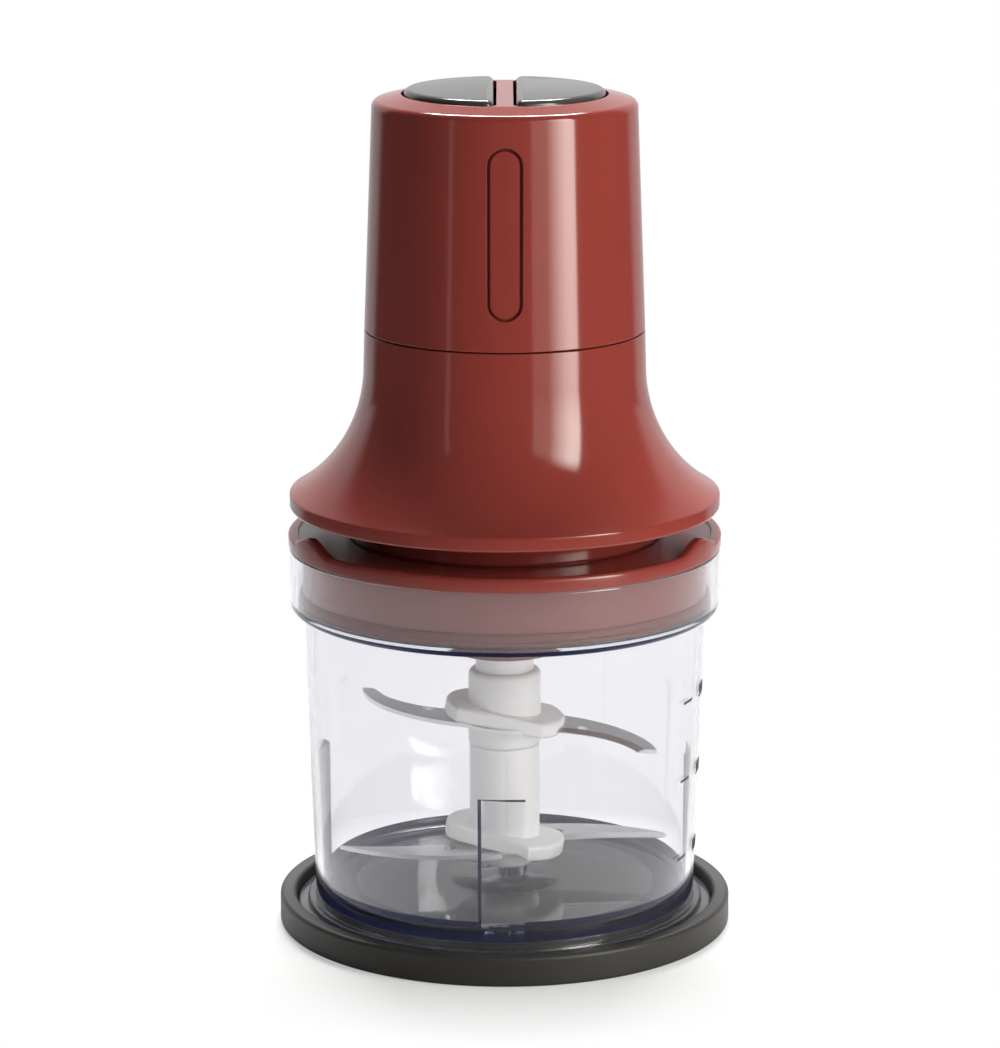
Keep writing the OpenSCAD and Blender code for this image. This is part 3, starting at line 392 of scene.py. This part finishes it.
# The bowl is spun sector by sector, so that each rib's step has columns of its own
def bowlMesh():
    b = bowl
    stepZ = footZ + b["footT"]
    innerFloor = wallR(b["floor"]) - b["wall"]
    outline = [
        (0, b["under"]), (b["ringIn"], b["under"]), (wallR(b["under"]) - b["wall"], b["under"], 1.0),
        (wallR(footZ) - b["wall"], footZ, 0.3), (b["footR"], footZ, 0.4), (b["footR"], stepZ, 0.8),
        (b["stepR"], stepZ, 0.25), (b["stepR"], stepZ + b["stepT"], 0.7),
        (wallR(stepZ + b["stepT"]), stepZ + b["stepT"], 0.5), (wallR(b["collar"]), b["collar"], 0.5),
        (collarR, b["collar"], b["collarRound"]), (collarR, rimZ, 0.7),
        (collarR - b["collarWall"], rimZ, 0.7), (collarR - b["collarWall"], b["ledge"], 0.5),
        (wallR(b["ledge"]) - b["wall"], b["ledge"], 0.6), (wallR(b["ribEnd"]) - b["wall"], b["ribEnd"]),
        (wallR(b["ribTop"]) - b["wall"], b["ribTop"]), (innerFloor, b["floor"], b["fillet"]),
        (b["coneR"], b["floor"], 1.0), (b["coneIn"], b["cone"]), (b["postR"], b["cone"], 0.4),
        (b["postR"], b["post"], 0.8), (b["pinR"], b["post"], 0.3), (b["pinR"], b["pin"]), (0, b["pin"])]
    bm = drawOutline(outline, 6)
    start = math.radians(-90 + b["ribFrom"])
    bmesh.ops.rotate(bm, cent=(0, 0, 0), matrix=Matrix.Rotation(start, 3, "Z"), verts=bm.verts[:])
    section = bm.verts[:] + bm.edges[:]
    span = b["ribTo"] - b["ribFrom"]
    fine = b["mouldW"]
    toSeam = -b["ribFrom"] - b["ribStep"] - fine
    sectors = (
        (b["ribStep"], 1), (toSeam, 6), (fine, 1), (fine, 1), (b["ribTo"] - fine, 5),
        (360 / b["ribs"] - span, 42))
    for rib in range(b["ribs"]):
        for angle, steps in sectors:
            spun = bmesh.ops.spin(
                bm, geom=section, cent=(0, 0, 0), axis=(0, 0, 1), angle=math.radians(angle), steps=steps)
            section = spun["geom_last"]
    bmesh.ops.remove_doubles(bm, verts=bm.verts[:], dist=0.002)
    for vert in bm.verts:
        radius = math.hypot(vert.co.x, vert.co.y)
        turn = (math.degrees(math.atan2(vert.co.y, vert.co.x)) + 90 - b["ribFrom"]) % (360 / b["ribs"])
        inner = b["floor"] - 0.1 < vert.co.z < b["ribTop"] + 0.1 and radius > innerFloor - b["fillet"] - 0.1
        if inner and radius < wallR(vert.co.z) - b["wall"] + 0.1 and b["ribStep"] / 2 < turn < span:
            fade = (turn - b["ribStep"]) / (span - b["ribStep"])
            ribR = (innerFloor - b["ribDepth"]) * (1 - fade) + (wallR(vert.co.z) - b["wall"]) * fade
            vert.co.xy *= min(1, ribR / radius)
        # Fine mould line up the front of the wall and the collar
        onWall = stepZ + b["stepT"] + 0.6 < vert.co.z < rimZ - 1 and radius > wallR(vert.co.z) - 0.05
        if onWall and abs(vert.co.x) < 0.01 and vert.co.y < 0:
            vert.co.y -= b["mouldH"]
    bmesh.ops.recalc_face_normals(bm, faces=bm.faces[:])
    return bm


clearBowl = dress(makeObject(bowlMesh(), "clearBowl"), "bowl", "clear", "bowl", angle=30)


# Paints shade and a navy glow on edges that light runs along inside the plastic: under the collar and the
# floor, steps of the ribs
def paintShadeGlowOnEdges(mesh):
    b = bowl
    mesh.materials.append(finishes["clear_edge_painted_shade_glow"])
    for face in mesh.polygons:
        spot = face.center / mm
        radius = math.hypot(spot.x, spot.y)
        across = abs(face.normal.x * spot.y - face.normal.y * spot.x) / max(radius, 1)
        inWall = radius < wallR(spot.z) - b["wall"] + 0.05
        pastRing = radius > b["ringIn"]
        facesDown = face.normal.z < -0.3
        underCollar = b["collar"] - 0.1 < spot.z < b["ledge"] + 1 and not inWall and facesDown
        underFloor = b["under"] - 1 < spot.z < b["under"] + 0.1 and pastRing and facesDown
        onRib = b["floor"] + 1 < spot.z < b["ribEnd"] and inWall and pastRing
        # These faces get the painted shade and glow
        if underCollar or underFloor or onRib and (across > 0.4 or face.normal.z > 0.15):
            face.material_index = 1


paintShadeGlowOnEdges(clearBowl.data)

# Graduations on the right of the bowl: a short line and a plain number at each level
marks = {
    "levels": {24.4: "100", 47.5: "300", 70.5: "500"}, "raise": 0.12,
    "turn": 66, "length": 6.0, "line": 0.7, "sunk": 0.03,
    "numberTurn": 77, "numberH": 5.2, "numberSunk": 0.02,
}


# Bends a flat drawing round the bowl's wall, with x along the wall from a turn to the right of the front
def wrapOnBowl(bm, turn, z):
    for vert in bm.verts:
        height = z + vert.co.y
        radius = wallR(height) + vert.co.z
        angle = math.radians(turn - 90) + vert.co.x / wallR(z)
        vert.co = Vector((radius * math.cos(angle), radius * math.sin(angle), height))


def graduations():
    k = marks
    for z, number in k["levels"].items():
        bm = bmesh.new()
        bmesh.ops.create_grid(bm, x_segments=8, y_segments=1, size=0.5)
        bmesh.ops.scale(bm, vec=(k["length"], k["line"], 1), verts=bm.verts[:])
        bmesh.ops.translate(bm, vec=(0, 0, -k["sunk"]), verts=bm.verts[:])
        raiseFace(bm, k["raise"] + k["sunk"])
        wrapOnBowl(bm, k["turn"], z)
        dress(makeObject(bm, "line" + number), "bowl", "black_plastic", finish="print")
        text = bpy.data.curves.new("number", "FONT")
        text.body = number
        text.size = k["numberH"]
        text.extrude = k["raise"] / 2 + k["numberSunk"]
        text.align_y = "CENTER"
        drawing = bpy.data.objects.new("number", text)
        bpy.context.scene.collection.objects.link(drawing)
        bm = bmesh.new()
        bm.from_mesh(drawing.to_mesh())
        bpy.data.objects.remove(drawing)
        bmesh.ops.remove_doubles(bm, verts=bm.verts[:], dist=0.001)
        bmesh.ops.translate(bm, vec=(0, 0, k["raise"] / 2), verts=bm.verts[:])
        wrapOnBowl(bm, k["numberTurn"], z)
        dress(makeObject(bm, "number" + number), "bowl", "black_plastic", finish="print")


graduations()
print("mat and bowl made")

# Blade unit: white spindle and upper hub, each with a thick wing plate that grips its blade
spindle = {
    "r": 10.1, "neckR": 8.3, "shoulder": 52.4, "boreR": 2.8, "bore": 46.5, "hubWall": 2.05, "fit": 0.05,
    "wingR": 17.3, "wingW": 12.0, "wingT": 4.6, "wingRound": 1.1, "wingCorner": 0.4, "tilt": 10,
    "lowZ": 24.5, "lowTurn": -25, "highZ": 60.9, "highTurn": -7, "through": 20,
    "socket": 13.0, "socketR": 4.15, "lobes": 6, "lobeAt": 4.2, "lobeR": 1.55,
}


def cylinder(radius, zLow, zHigh, at=(0, 0)):
    bm = lathe([(0, zLow), (radius, zLow), (radius, zHigh), (0, zHigh)], 96)
    bmesh.ops.translate(bm, vec=(*at, 0), verts=bm.verts[:])
    return makeObject(bm, "tool")


# Round plate with two straight sides and soft edges, leaning down to the right, open in the middle
def wingPlate(z, turn, hole):
    k = spindle
    bm = bmesh.new()
    bmesh.ops.create_circle(bm, cap_ends=True, segments=96, radius=k["wingR"])
    for side in (1, -1):
        bmesh.ops.bisect_plane(
            bm, geom=bm.verts[:] + bm.edges[:] + bm.faces[:], plane_co=(0, side * k["wingW"], 0),
            plane_no=(0, side, 0), clear_outer=True)
    tips = [v for v in bm.verts if abs(abs(v.co.y) - k["wingW"]) < 0.001]
    roundOff(bm, tips, "VERTICES", k["wingCorner"], 2)
    bmesh.ops.translate(bm, vec=(0, 0, -k["wingT"] / 2), verts=bm.verts[:])
    raiseFace(bm, k["wingT"])
    rims = [e for e in bm.edges if abs(e.verts[0].co.z - e.verts[1].co.z) < 0.001]
    roundOff(bm, rims, "EDGES", k["wingRound"], 5)
    lean = Matrix.Rotation(math.radians(k["tilt"]), 3, "Y") @ Matrix.Rotation(math.radians(turn), 3, "Z")
    bmesh.ops.rotate(bm, cent=(0, 0, 0), matrix=lean, verts=bm.verts[:])
    bmesh.ops.translate(bm, vec=(0, 0, z), verts=bm.verts[:])
    piece = makeObject(bm, "tool2")
    carve(piece, cylinder(hole, z - k["through"], z + k["through"]))
    return piece


def bladeSpindle():
    k = spindle
    zLow, zTop = low("blade_spindle"), top("blade_spindle")
    outline = [
        (k["boreR"], zLow, 0.5), (k["r"], zLow, 2.2), (k["r"], k["shoulder"], 0.7),
        (k["neckR"], k["shoulder"]), (k["neckR"], zTop, 0.8), (0, zTop),
        (0, k["bore"]), (k["boreR"], k["bore"])]
    piece = makeObject(lathe(outline, 144), "bladeSpindle")
    carve(piece, wingPlate(k["lowZ"], k["lowTurn"], k["boreR"] + 2), "UNION")
    carve(piece, cylinder(k["socketR"], zTop - k["socket"], zTop + 1))
    for i in range(k["lobes"]):
        angle = 2 * math.pi * i / k["lobes"]
        at = (k["lobeAt"] * math.cos(angle), k["lobeAt"] * math.sin(angle))
        carve(piece, cylinder(k["lobeR"], zTop - k["socket"], zTop + 1, at))
    return dress(piece, "blades", "white", "blade_spindle", angle=30, even=False)


def upperHub():
    k = spindle
    zLow, zTop = low("upper_hub"), top("upper_hub")
    inner = k["neckR"] + k["fit"]
    outer = inner + k["hubWall"]
    outline = [(inner, zLow, 0.3), (outer, zLow, 0.8), (outer, zTop, 1.6), (inner, zTop, 0.3)]
    piece = makeObject(lathe(outline, 144), "upperHub")
    carve(piece, wingPlate(k["highZ"], k["highTurn"], inner + 1), "UNION")
    return dress(piece, "blades", "white", "upper_hub", angle=30, even=False)


bladeSpindle()
upperHub()

# Ground edges of the blades, which lean more than the flats, have a finish of their own
groundLean = {"most": 0.5, "least": 0.97}
for name in ("lower_blade", "upper_blade"):
    flats = nodes[name].data
    flats.materials.append(finishes["ground_edge"])
    for face in flats.polygons:
        if groundLean["most"] < abs(face.normal.z) < groundLean["least"]:
            face.material_index = 1
print("blade unit made")

# Lid: dished top, skirt with a groove for the seal, well in the middle, four humps on the rim
lid = {
    "rim": 3.0, "dish": 0.6, "thick": 2.4, "skirtR": 57.6, "skirtWall": 2.4, "skirtLow": 95.3,
    "grooveLow": 96.5, "grooveHigh": 99.1, "grooveR": 56.4, "wellR": 15.5, "wellIn": 13.5, "wellFloor": 82.4,
    "eyeR": 8.9, "flangeR": 16.4, "flangeTop": 83.8, "humpH": 3.3, "humpL": 25, "humpAt": 64,
}
lidR, lidLow = reach("lid"), low("lid")
rimLow = top("bowl") + 0.1
lidTop = top("lid") - lid["humpH"]


def lidMesh():
    k = lid
    dishZ = lidTop - k["dish"]
    underZ = dishZ - k["thick"]
    inR = k["skirtR"] - k["skirtWall"]
    rimIn = lidR - k["rim"]
    outline = [
        (lidR, rimLow, 0.4), (lidR, lidTop, 1.1), (rimIn, lidTop, 0.5), (rimIn, dishZ, 0.1),
        (k["wellIn"], dishZ, 0.4), (k["wellIn"], k["wellFloor"], 0.3), (k["eyeR"], k["wellFloor"], 0.3),
        (k["eyeR"], lidLow, 0.3), (k["wellR"], lidLow, 0.5), (k["wellR"], k["wellFloor"]),
        (k["flangeR"], k["wellFloor"], 0.4), (k["flangeR"], k["flangeTop"], 0.4),
        (k["wellR"], k["flangeTop"]), (k["wellR"], underZ, 0.8), (inR, underZ, 0.8),
        (inR, k["skirtLow"], 0.4), (k["skirtR"], k["skirtLow"], 0.5),
        (k["skirtR"], k["grooveLow"], 0.2), (k["grooveR"], k["grooveLow"]), (k["grooveR"], k["grooveHigh"]),
        (k["skirtR"], k["grooveHigh"], 0.2), (k["skirtR"], underZ), (rimIn, underZ), (rimIn, rimLow)]
    bm = lathe(outline, 288, 4)
    half = math.degrees(k["humpL"] / 2 / lidR)
    for vert in bm.verts:
        radius = math.hypot(vert.co.x, vert.co.y)
        onRim = vert.co.z > lidTop - 1.25 and (radius > rimIn + 0.6 or vert.co.z > dishZ + 0.08)
        if onRim and radius > rimIn - 0.6:
            turn = math.degrees(math.atan2(vert.co.y, vert.co.x))
            for at in (k["humpAt"], 180 - k["humpAt"], -k["humpAt"], k["humpAt"] - 180):
                away = abs((turn - (90 - at) + 180) % 360 - 180)
                if away < half:
                    vert.co.z += k["humpH"] * math.cos(away / half * math.pi / 2) ** 2
    bmesh.ops.recalc_face_normals(bm, faces=bm.faces[:])
    return bm


dress(makeObject(lidMesh(), "lid.shell"), "lid", "lid_red", "lid", angle=35)

# Lower housing: thin lip, concave flare up to the seam, tongue inside the upper housing
lower = {
    "lipH": 4.0, "bodyR": 39.9, "flareTop": 163.0, "seamR": 39.6, "seamGap": 0.4,
    "shell": 2.5, "floorIn": 33.5, "tongueR": 36.8, "tongueIn": 34.6, "tongueH": 5.0,
}
lipR, lipZ = reach("lower_housing"), low("lower_housing")
seamZ = low("upper_housing") - lower["seamGap"]


def lowerMesh():
    k = lower
    lipTop = lipZ + k["lipH"]
    flareH = k["flareTop"] - lipTop
    out = lipR - k["bodyR"]
    flareR = (out ** 2 + flareH ** 2) / (2 * out)
    centre = (k["bodyR"] + flareR, k["flareTop"])
    foot = math.degrees(math.atan2(lipTop - centre[1], lipR - centre[0])) % 360
    inFoot = 180 + math.degrees(math.asin((centre[1] - lipZ - k["shell"]) / (flareR + k["shell"])))
    flare = arc(centre, flareR, foot, 180, 44)
    inside = arc(centre, flareR + k["shell"], 180, inFoot, 30)
    outline = [
        (k["floorIn"], lipZ, 0.3), (lipR, lipZ, 0.7), (*flare[0], 0.4), *flare[1:], (k["seamR"], seamZ, 0.25),
        (k["tongueR"], seamZ, 0.2), (k["tongueR"], seamZ + k["tongueH"], 0.4),
        (k["tongueIn"], seamZ + k["tongueH"], 0.4), (k["tongueIn"], seamZ - k["tongueH"] - 1),
        *inside, (k["floorIn"], lipZ + k["shell"], 0.3)]
    return lathe(outline, 288, 5)


dress(makeObject(lowerMesh(), "lowerHousing.shell"), "head", "red", "lower_housing", angle=35)

# Upper housing: a slight cone with a rounded top edge, cut for the buttons and the inlay
upper = {
    "seamR": 39.6, "topR": 37.15, "edge": 237.8, "crown": 239.8, "shell": 2.5, "round": 1.5, "soft": 0.28,
    "holeR": 28.9, "bridge": 4.8, "corner": 3.1, "cutBelow": 12, "cutAbove": 4,
    "inlayW": 8.0, "inlayL": 45.7, "inlayGap": 0.85, "inlayDepth": 1.6, "inlayUp": 32.6, "inlayReach": 50,
}
capZ = low("upper_housing")


def capR(z):
    return upper["seamR"] + (upper["topR"] - upper["seamR"]) * (z - capZ) / (upper["edge"] - capZ)


# A racetrack prism through the front of the housing
def racetrack(width, length):
    bm = bmesh.new()
    bmesh.ops.create_circle(bm, cap_ends=False, segments=48, radius=width / 2)
    stretch = (length - width) / 2
    for vert in bm.verts:
        vert.co.y += stretch if vert.co.y > -0.001 else -stretch
    bmesh.ops.contextual_create(bm, geom=bm.edges[:])
    raiseFace(bm, upper["inlayReach"])
    bmesh.ops.rotate(bm, cent=(0, 0, 0), matrix=Matrix.Rotation(math.radians(90), 3, "X"), verts=bm.verts[:])
    bmesh.ops.translate(bm, vec=(0, 0, seamZ + upper["inlayUp"]), verts=bm.verts[:])
    bmesh.ops.recalc_face_normals(bm, faces=bm.faces[:])
    return makeObject(bm, "tool")


# Half a disc on the right or left of the bridge, with its corners rounded
def halfMoon(radius, edgeX, side, zLow, zHigh, corner):
    cornerX = edgeX + corner
    cornerY = math.sqrt((radius - corner) ** 2 - cornerX ** 2)
    lean = math.degrees(math.atan2(cornerY, cornerX))
    outline = [
        *arc((0, 0), radius, -lean, lean, 110), *arc((cornerX, cornerY), corner, lean, 180, 8)[1:],
        *arc((cornerX, -cornerY), corner, 180, 360 - lean, 8)[:-1]]
    bm = bmesh.new()
    bm.faces.new([bm.verts.new((side * x, y, zLow)) for x, y in outline])
    raiseFace(bm, zHigh - zLow)
    return bm


def upperHousing():
    k = upper
    outline = [
        (0, k["crown"]), (k["holeR"], k["crown"], 0.8), (k["topR"], k["edge"], k["round"]),
        (k["seamR"], capZ, 0.25), (k["seamR"] - k["shell"], capZ, 0.2),
        (k["topR"] - k["shell"], k["edge"] - k["shell"], 0.5),
        (k["holeR"], k["crown"] - k["shell"]), (0, k["crown"] - k["shell"])]
    piece = makeObject(lathe(outline, 224, 6), "upperHousing.shell")
    cutLow, cutHigh = k["crown"] - k["cutBelow"], k["crown"] + k["cutAbove"]
    for side in (1, -1):
        tool = halfMoon(k["holeR"], k["bridge"] / 2, side, cutLow, cutHigh, k["corner"])
        carve(piece, makeObject(tool, "tool"))
    floor = makeObject(lathe([
        (0, capZ + 1), (capR(capZ + 1) - k["inlayDepth"], capZ + 1),
        (capR(k["edge"] - 1) - k["inlayDepth"], k["edge"] - 1), (0, k["edge"] - 1)]), "tool2")
    groove = racetrack(k["inlayW"] + 2 * k["inlayGap"], k["inlayL"] + 2 * k["inlayGap"])
    carve(groove, floor)
    carve(piece, groove)
    softenEdges(piece, k["soft"])
    return dress(piece, "head", "red", "upper_housing", angle=30)


def gripInlay():
    k = upper
    slab = [(capR(z), z) for z in (capZ + 2, k["edge"] - 2)]
    inner = [(r - k["inlayDepth"] + 0.05, z) for r, z in reversed(slab)]
    piece = racetrack(k["inlayW"], k["inlayL"])
    piece.name = "gripInlay"
    carve(piece, makeObject(lathe(slab + inner), "tool"), "INTERSECT")
    return dress(piece, "head", "red", "grip_inlay", angle=30)


upperHousing()
gripInlay()
print("lid and housings made")

# Push buttons: smoked half-moons with rounded edges, hollow below
button = {
    "r": 28.2, "edgeX": 3.1, "round": 1.7, "corner": 2.4, "wall": 1.8, "roof": 2.8, "stop": 1.2, "stopH": 1.4,
    "press": 2.5,
}


def pushButton(name, side, body):
    k = button
    zLow, zTop = low(body), top(body)
    bm = halfMoon(k["r"], k["edgeX"], side, zLow, zTop, k["corner"])
    rim = [e for e in bm.edges if all(abs(v.co.z - zTop) < 0.001 for v in e.verts)]
    roundOff(bm, rim, "EDGES", k["round"], 6)
    piece = makeObject(bm, name)
    flange = halfMoon(k["r"] + k["stop"], k["edgeX"], side, zLow, zLow + k["stopH"], k["corner"])
    carve(piece, makeObject(flange, "tool"), "UNION")
    hollow = halfMoon(
        k["r"] - k["wall"], k["edgeX"] + k["wall"], side, zLow - 1, zTop - k["roof"], k["corner"])
    carve(piece, makeObject(hollow, "tool"))
    return dress(piece, body, "smoke", body, angle=30, even=False)


# The coil under a button: a copy of its node with a mesh of its own; the real coil shortens as the button
# goes down
def buttonCoil(side):
    node = side + "_spring"
    piece = bpy.data.objects.new(side + "Coil", nodes[node].data.copy())
    bpy.context.scene.collection.objects.link(piece)
    dress(piece, "head", "steel", node, even=False)
    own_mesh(piece)


pushButton("leftButton", -1, "left_button")
pushButton("rightButton", 1, "right_button")
buttonCoil("left")
buttonCoil("right")
print("buttons made")

# Carried-over solids are smooth apart from their sharp edges
for name, node in nodes.items():
    if not node.hide_render:
        node.data.shade_smooth()

# Pale floor: white in the picture, darker where the object shades it; dim in gloss far off, less so behind
floorLook = {
    "size": 8.0, "drop": 0.2, "albedo": 0.55, "glow": 0.3, "near": 0.055, "far": 0.11,
    "table": 0.48, "tableSoft": 0.06, "gloss": 0.08, "glossBehind": 0.62, "behind": 0.6, "behindSoft": 0.12,
}


def paleFloor():
    k = floorLook
    f = Finish("paleFloor")
    clear = f.ray("Transmission Depth") > 0.5
    mirrored = f.ray("Is Glossy Ray") * (1 - clear)
    seen = (f.ray("Is Camera Ray") + clear).clamp()
    spot = f.place()
    away = f.add("ShaderNodeVectorMath", {"operation": "LENGTH"}, {0: spot}, "Value")
    back = f.add("ShaderNodeSeparateXYZ", {}, {0: spot}, "Y") / away
    spread = ((away - k["near"]) / (k["far"] - k["near"])).clamp()
    beyond = ((away - k["table"]) / k["tableSoft"]).clamp()
    behind = ((back - k["behind"]) / k["behindSoft"]).clamp()
    dim = (seen * spread + mirrored * beyond).clamp()
    colour = f.blend(dim, (k["albedo"],) * 3, (0.0,) * 3)
    matt = f.add("ShaderNodeBsdfDiffuse", {}, {"Color": colour})
    shown = seen * (k["glow"] + (1 - k["glow"]) * spread)
    strength = shown + mirrored * beyond * (k["gloss"] + (k["glossBehind"] - k["gloss"]) * behind)
    glow = f.add("ShaderNodeEmission", {}, {"Color": (1, 1, 1, 1), "Strength": strength})
    both = f.add("ShaderNodeAddShader", {}, {0: matt, 1: glow})
    f.add("ShaderNodeOutputMaterial", {}, {"Surface": both})
    bm = bmesh.new()
    bmesh.ops.create_grid(bm, x_segments=1, y_segments=1, size=k["size"] / 2 / mm)
    bmesh.ops.translate(bm, vec=(0, 0, -k["drop"]), verts=bm.verts[:])
    piece = makeObject(bm, "floor")
    piece.data.materials.append(f.material)


paleFloor()

# Soft studio light: a box at the right front, a thin strip at the left front, a box above and behind
lamps = {
    "key": {"turn": 60, "away": 0.7, "aside": 0.275, "height": 0.4, "size": (0.55, 0.78), "power": 17.4},
    "strip": {"turn": -45, "away": 0.7, "aside": 0.0, "height": 0.3, "size": (0.04, 0.55), "power": 0.05},
    "top": {"turn": 180, "away": 0.8, "aside": 0.0, "height": 1.43, "size": (1.0, 0.3), "power": 54},
}
keyFade = {"dim": 0.12, "from": 0.4, "over": 0.4, "low": 0.66, "end": 0.2, "tone": (1, 0.97, 0.89, 1)}
# A lamp below this height shines level, and a higher one at a point near the object's middle
levelBelow = 0.5
middle = Vector((0, 0, 0.15))
for name, k in lamps.items():
    data = bpy.data.lights.new(name, "AREA")
    data.shape = "RECTANGLE"
    data.size, data.size_y = k["size"]
    data.energy = k["power"]
    lamp = bpy.data.objects.new(name, data)
    turn = math.radians(k["turn"])
    out = Vector((math.sin(turn), -math.cos(turn), 0))
    left = Vector((-math.cos(turn), -math.sin(turn), 0))
    lamp.location = k["away"] * out + k["aside"] * left + Vector((0, 0, k["height"]))
    aim = -out if k["height"] < levelBelow else middle - lamp.location
    lamp.rotation_euler = aim.to_track_quat("-Z", "Y").to_euler()
    bpy.context.scene.collection.objects.link(lamp)


# The key box is brightest along its far edge and fades towards the camera and at its top
def fadeKey(data):
    k = keyFade
    data.use_nodes = True
    f = Finish("key", data.node_tree)
    spot = f.add("ShaderNodeNewGeometry", {}, {}, "Parametric")
    across = f.add("ShaderNodeSeparateXYZ", {}, {0: spot}, "X")
    up = f.add("ShaderNodeSeparateXYZ", {}, {0: spot}, "Y")
    bright = k["dim"] + (1 - k["dim"]) * ((across - k["from"]) / k["over"]).clamp()
    level = bright * (k["low"] + up).clamp() * ((1 - up) / k["end"]).clamp()
    shade = f.add("ShaderNodeEmission", {}, {"Color": k["tone"], "Strength": level})
    f.add("ShaderNodeOutputLight", {}, {"Surface": shade})


fadeKey(bpy.data.lights["key"])

# World: white to the camera; in gloss and through clear plastic, white behind the object, dimmer high up
sky = {
    "front": 0.1, "behind": 1.0, "ambient": 0.09, "inside": 0.9,
    "glossFrom": 0.5, "clearFrom": -0.35, "soft": 0.15,
    "glossDim": 0.28, "high": 0.3, "highFrom": 0.4, "highSoft": 0.3,
    "clearHigh": 0.72, "clearHighFrom": 0.02, "clearHighSoft": 0.1,
}


def studioWorld():
    world = bpy.data.worlds.new("studio")
    bpy.context.scene.world = world
    world.use_nodes = True
    f = Finish("studio", world.node_tree)
    direct = f.ray("Is Camera Ray")
    clear = f.ray("Transmission Depth") > 0.5
    inside = clear * (f.ray("Diffuse Depth") > 0.5)
    gloss = f.ray("Is Glossy Ray") * (1 - clear)
    spot = f.add("ShaderNodeTexCoord", {}, {}, "Generated")
    back = f.add("ShaderNodeSeparateXYZ", {}, {0: spot}, "Y")
    up = f.add("ShaderNodeSeparateXYZ", {}, {0: spot}, "Z")
    start = gloss * sky["glossFrom"] + (1 - gloss) * sky["clearFrom"]
    glossDim = gloss * (sky["glossDim"] + sky["high"] * ((up - sky["highFrom"]) / sky["highSoft"]).clamp())
    clearDim = clear * sky["clearHigh"] * ((up - sky["clearHighFrom"]) / sky["clearHighSoft"]).clamp()
    white = ((back - start) / sky["soft"]).clamp() * (1 - glossDim - clearDim)
    around = sky["front"] + (sky["behind"] - sky["front"]) * white
    shown = (clear + gloss).clamp() - inside
    indirect = shown * around + inside * sky["inside"] + (1 - shown - inside) * sky["ambient"]
    level = direct + (1 - direct) * indirect
    shade = f.add("ShaderNodeBackground", {}, {"Color": (1, 1, 1, 1), "Strength": level})
    f.add("ShaderNodeOutputWorld", {}, {"Surface": shade})


studioWorld()
bpy.context.scene.view_settings.view_transform = "Standard"
print("lamps and world set")
